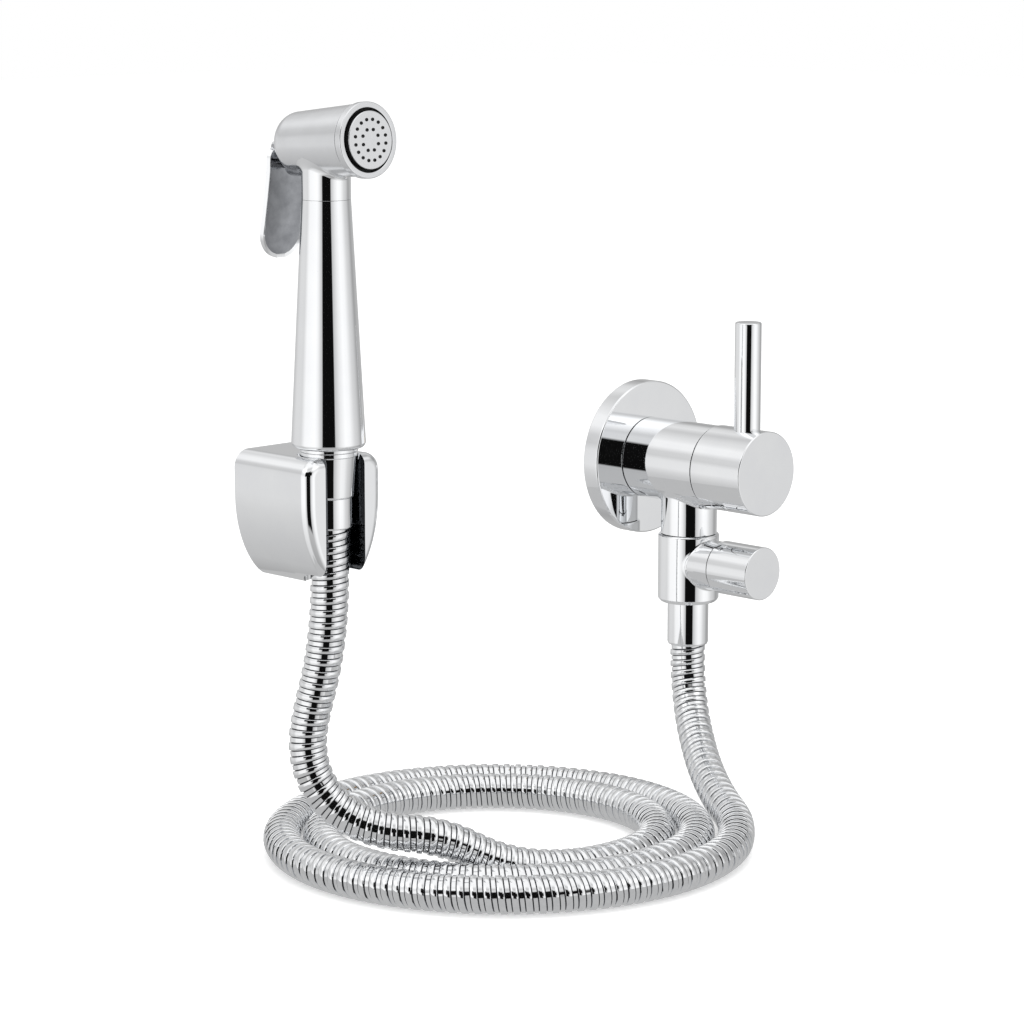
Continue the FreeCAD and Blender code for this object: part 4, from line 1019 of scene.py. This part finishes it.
def makeTrigger():
    low, high, middle = extent("trigger_lever")
    piece = makeBlade(low, middle)
    sleeve = crossRod("triggerKnuckle", knuckle, middle, 48)
    sleeve.data.materials.append(chrome)
    piece = joined("triggerLever", piece, sleeve)
    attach(piece, "trigger")
    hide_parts("trigger_lever")
    pin = crossRod("triggerPin", crossPin, middle, 32)
    dress(pin, materials["stainless steel"], "hand_spray", "steel", "trigger_pin")
    print("trigger made")


# wall holder: a pebble-like block, wide above and drawn in below, with a slot, in mm

holder = {
    "topRound": 7.0, "foot": -23.5,     # radius of the upper corners, level of the foot
    "footHalf": 5.0,                    # half the width of the foot
    "widest": 12.0,                     # level of the widest part
    "fullness": (2.2, 0.75),            # how the sides run from there to the foot
    "frontRound": 4.2,                  # rounding between the sides and the front
    "slot": 10.3, "slotEdge": 0.7,      # half the slot's width, rounding of all edges
    "slotDepth": -34,                   # where the middle of the slot's round end is
    "seat": [(9.3, 11.2), (12.6, 29)],  # radius and level of the cone nut's seat
    "pocket": (24.3, 16.2, 27.7), "pocketLevel": 4,    # room for the wall plate
}


def holderOutline(low, high, middle, inset):
    # across and up, from the middle of the top round to the left and down
    half = (high.x - low.x) / 2 - inset
    top, foot = high.z - inset, holder["foot"] * mm + inset
    corner = holder["topRound"] * mm - inset
    level = holder["widest"] * mm
    least = holder["footHalf"] * mm
    bulge, squareness = holder["fullness"]
    left = arc((half - corner, top - corner), corner, 90, 0, 10)
    steps = 18
    for i in range(steps + 1):
        drop = math.sin(math.pi / 2 * i / steps)
        reach = max(1 - drop ** bulge, 0.0) ** squareness
        left.append((least + (half - least) * reach, level + (foot - level) * drop))
    right = [(-across, rise) for across, rise in reversed(left)]
    return [(middle.x - across, rise) for across, rise in left + right]


def holderBlock(low, high, middle):
    outline = holderOutline(low, high, middle, 0)
    back = high.y - hairline * mm
    pickNothing()
    bpy.ops.mesh.primitive_circle_add(vertices=len(outline), radius=10 * mm)
    piece = bpy.context.object
    piece.name = piece.data.name = "holderCover"
    for vertex, (across, level) in zip(piece.data.vertices, outline):
        vertex.co = (across, back, level)
    bpy.ops.object.mode_set(mode="EDIT")
    toAll(bpy.ops.mesh.edge_face_add)
    # extruded ring by ring, drawn in along the front rounding
    rounding = holder["frontRound"] * mm
    steps = 10
    for i in range(steps + 1):
        angle = math.pi / 2 * i / steps
        ring = holderOutline(low, high, middle, rounding * (1 - math.cos(angle)))
        depth = low.y + rounding * (1 - math.sin(angle))
        bpy.ops.mesh.extrude_region_move()
        bpy.ops.object.mode_set(mode="OBJECT")
        for vertex in piece.data.vertices:
            if vertex.select:
                spot = min(range(len(outline)), key=lambda k: (
                    vertex.co - Vector((outline[k][0], back, outline[k][1]))).length)
                vertex.co = (ring[spot][0], depth, ring[spot][1])
        outline, back = ring, depth
        bpy.ops.object.mode_set(mode="EDIT")
    toAll(bpy.ops.mesh.remove_doubles, threshold=1e-6)
    toAll(bpy.ops.mesh.normals_make_consistent, inside=False)
    bpy.ops.object.mode_set(mode="OBJECT")
    return piece


def makeHolder():
    low, high, middle = extent("holder_cover")
    piece = holderBlock(low, high, middle)
    x, y = middle.x, holder["slotDepth"] * mm
    half = holder["slot"] * mm
    width, depth, height = holder["pocket"]
    cutters = [
        turned("slotCutter", [(half, low.z - 4 * mm), (half, high.z + 2 * mm)],
               base=(x, y, 0), sides=64),
        block((x, y - 10 * mm, middle.z), (half * 2, 20 * mm, high.z - low.z + 8 * mm)),
        turned("seatCutter", [(radius * mm, level * mm) for radius, level in holder["seat"]],
               base=(x, y, 0), sides=64),
        block((x, 0, holder["pocketLevel"] * mm), (width * mm, depth * mm, height * mm)),
    ]
    for cutter in cutters:
        applyModifier(piece, "BOOLEAN", operation="DIFFERENCE", solver="EXACT", object=cutter)
        bpy.data.objects.remove(cutter)
    pick(piece)
    bpy.ops.object.mode_set(mode="EDIT")
    toAll(bpy.ops.mesh.remove_doubles, threshold=2e-6)
    bpy.ops.object.mode_set(mode="OBJECT")
    smoothed(piece, bevel=holder["slotEdge"] * mm, steps=4, sharp=32)
    dress(piece, chrome, "wall_set", "polished_chrome", "holder_cover")
    # the slot's walls take a darker chrome, painted shade, as they see little but themselves
    piece.data.materials.append(materials["chrome plate, painted shade"])
    for polygon in piece.data.polygons:
        inSlot = abs(polygon.center.x - x) < half + 0.02 * mm and polygon.center.y < -20 * mm
        if inSlot and abs(polygon.normal.z) < 0.1 and abs(polygon.normal.x) > 0.5:
            polygon.material_index = 1
    print("holder made")


# the parts that stay as they are get their real materials

slotMaterial = {
    "polished_chrome": "polished chrome plate", "head_chrome": "chrome plated ABS",
    "brass": "turned brass", "steel": "stainless steel", "rubber": "nitrile rubber",
    "inner_plastic": "moulded acetal", "nozzle_face": "silicone nozzle",
    "ceramic": "lapped alumina ceramic",
}


def dressKept():
    for part in frame["record"]["subparts"]:
        node = frame["nodes"][part["node"]]
        node.data.materials.clear()
        node.data.materials.append(materials[slotMaterial[part["material_slot"]]])
    print("kept parts dressed")


bpy.context.scene.view_settings.view_transform = "Standard"
setCamera()
makeHose()
makeValve()
makeSpray()
makeTrigger()
makeHolder()
dressKept()
setFloor()
setCoilBoard()
setWorld()
setLamps()
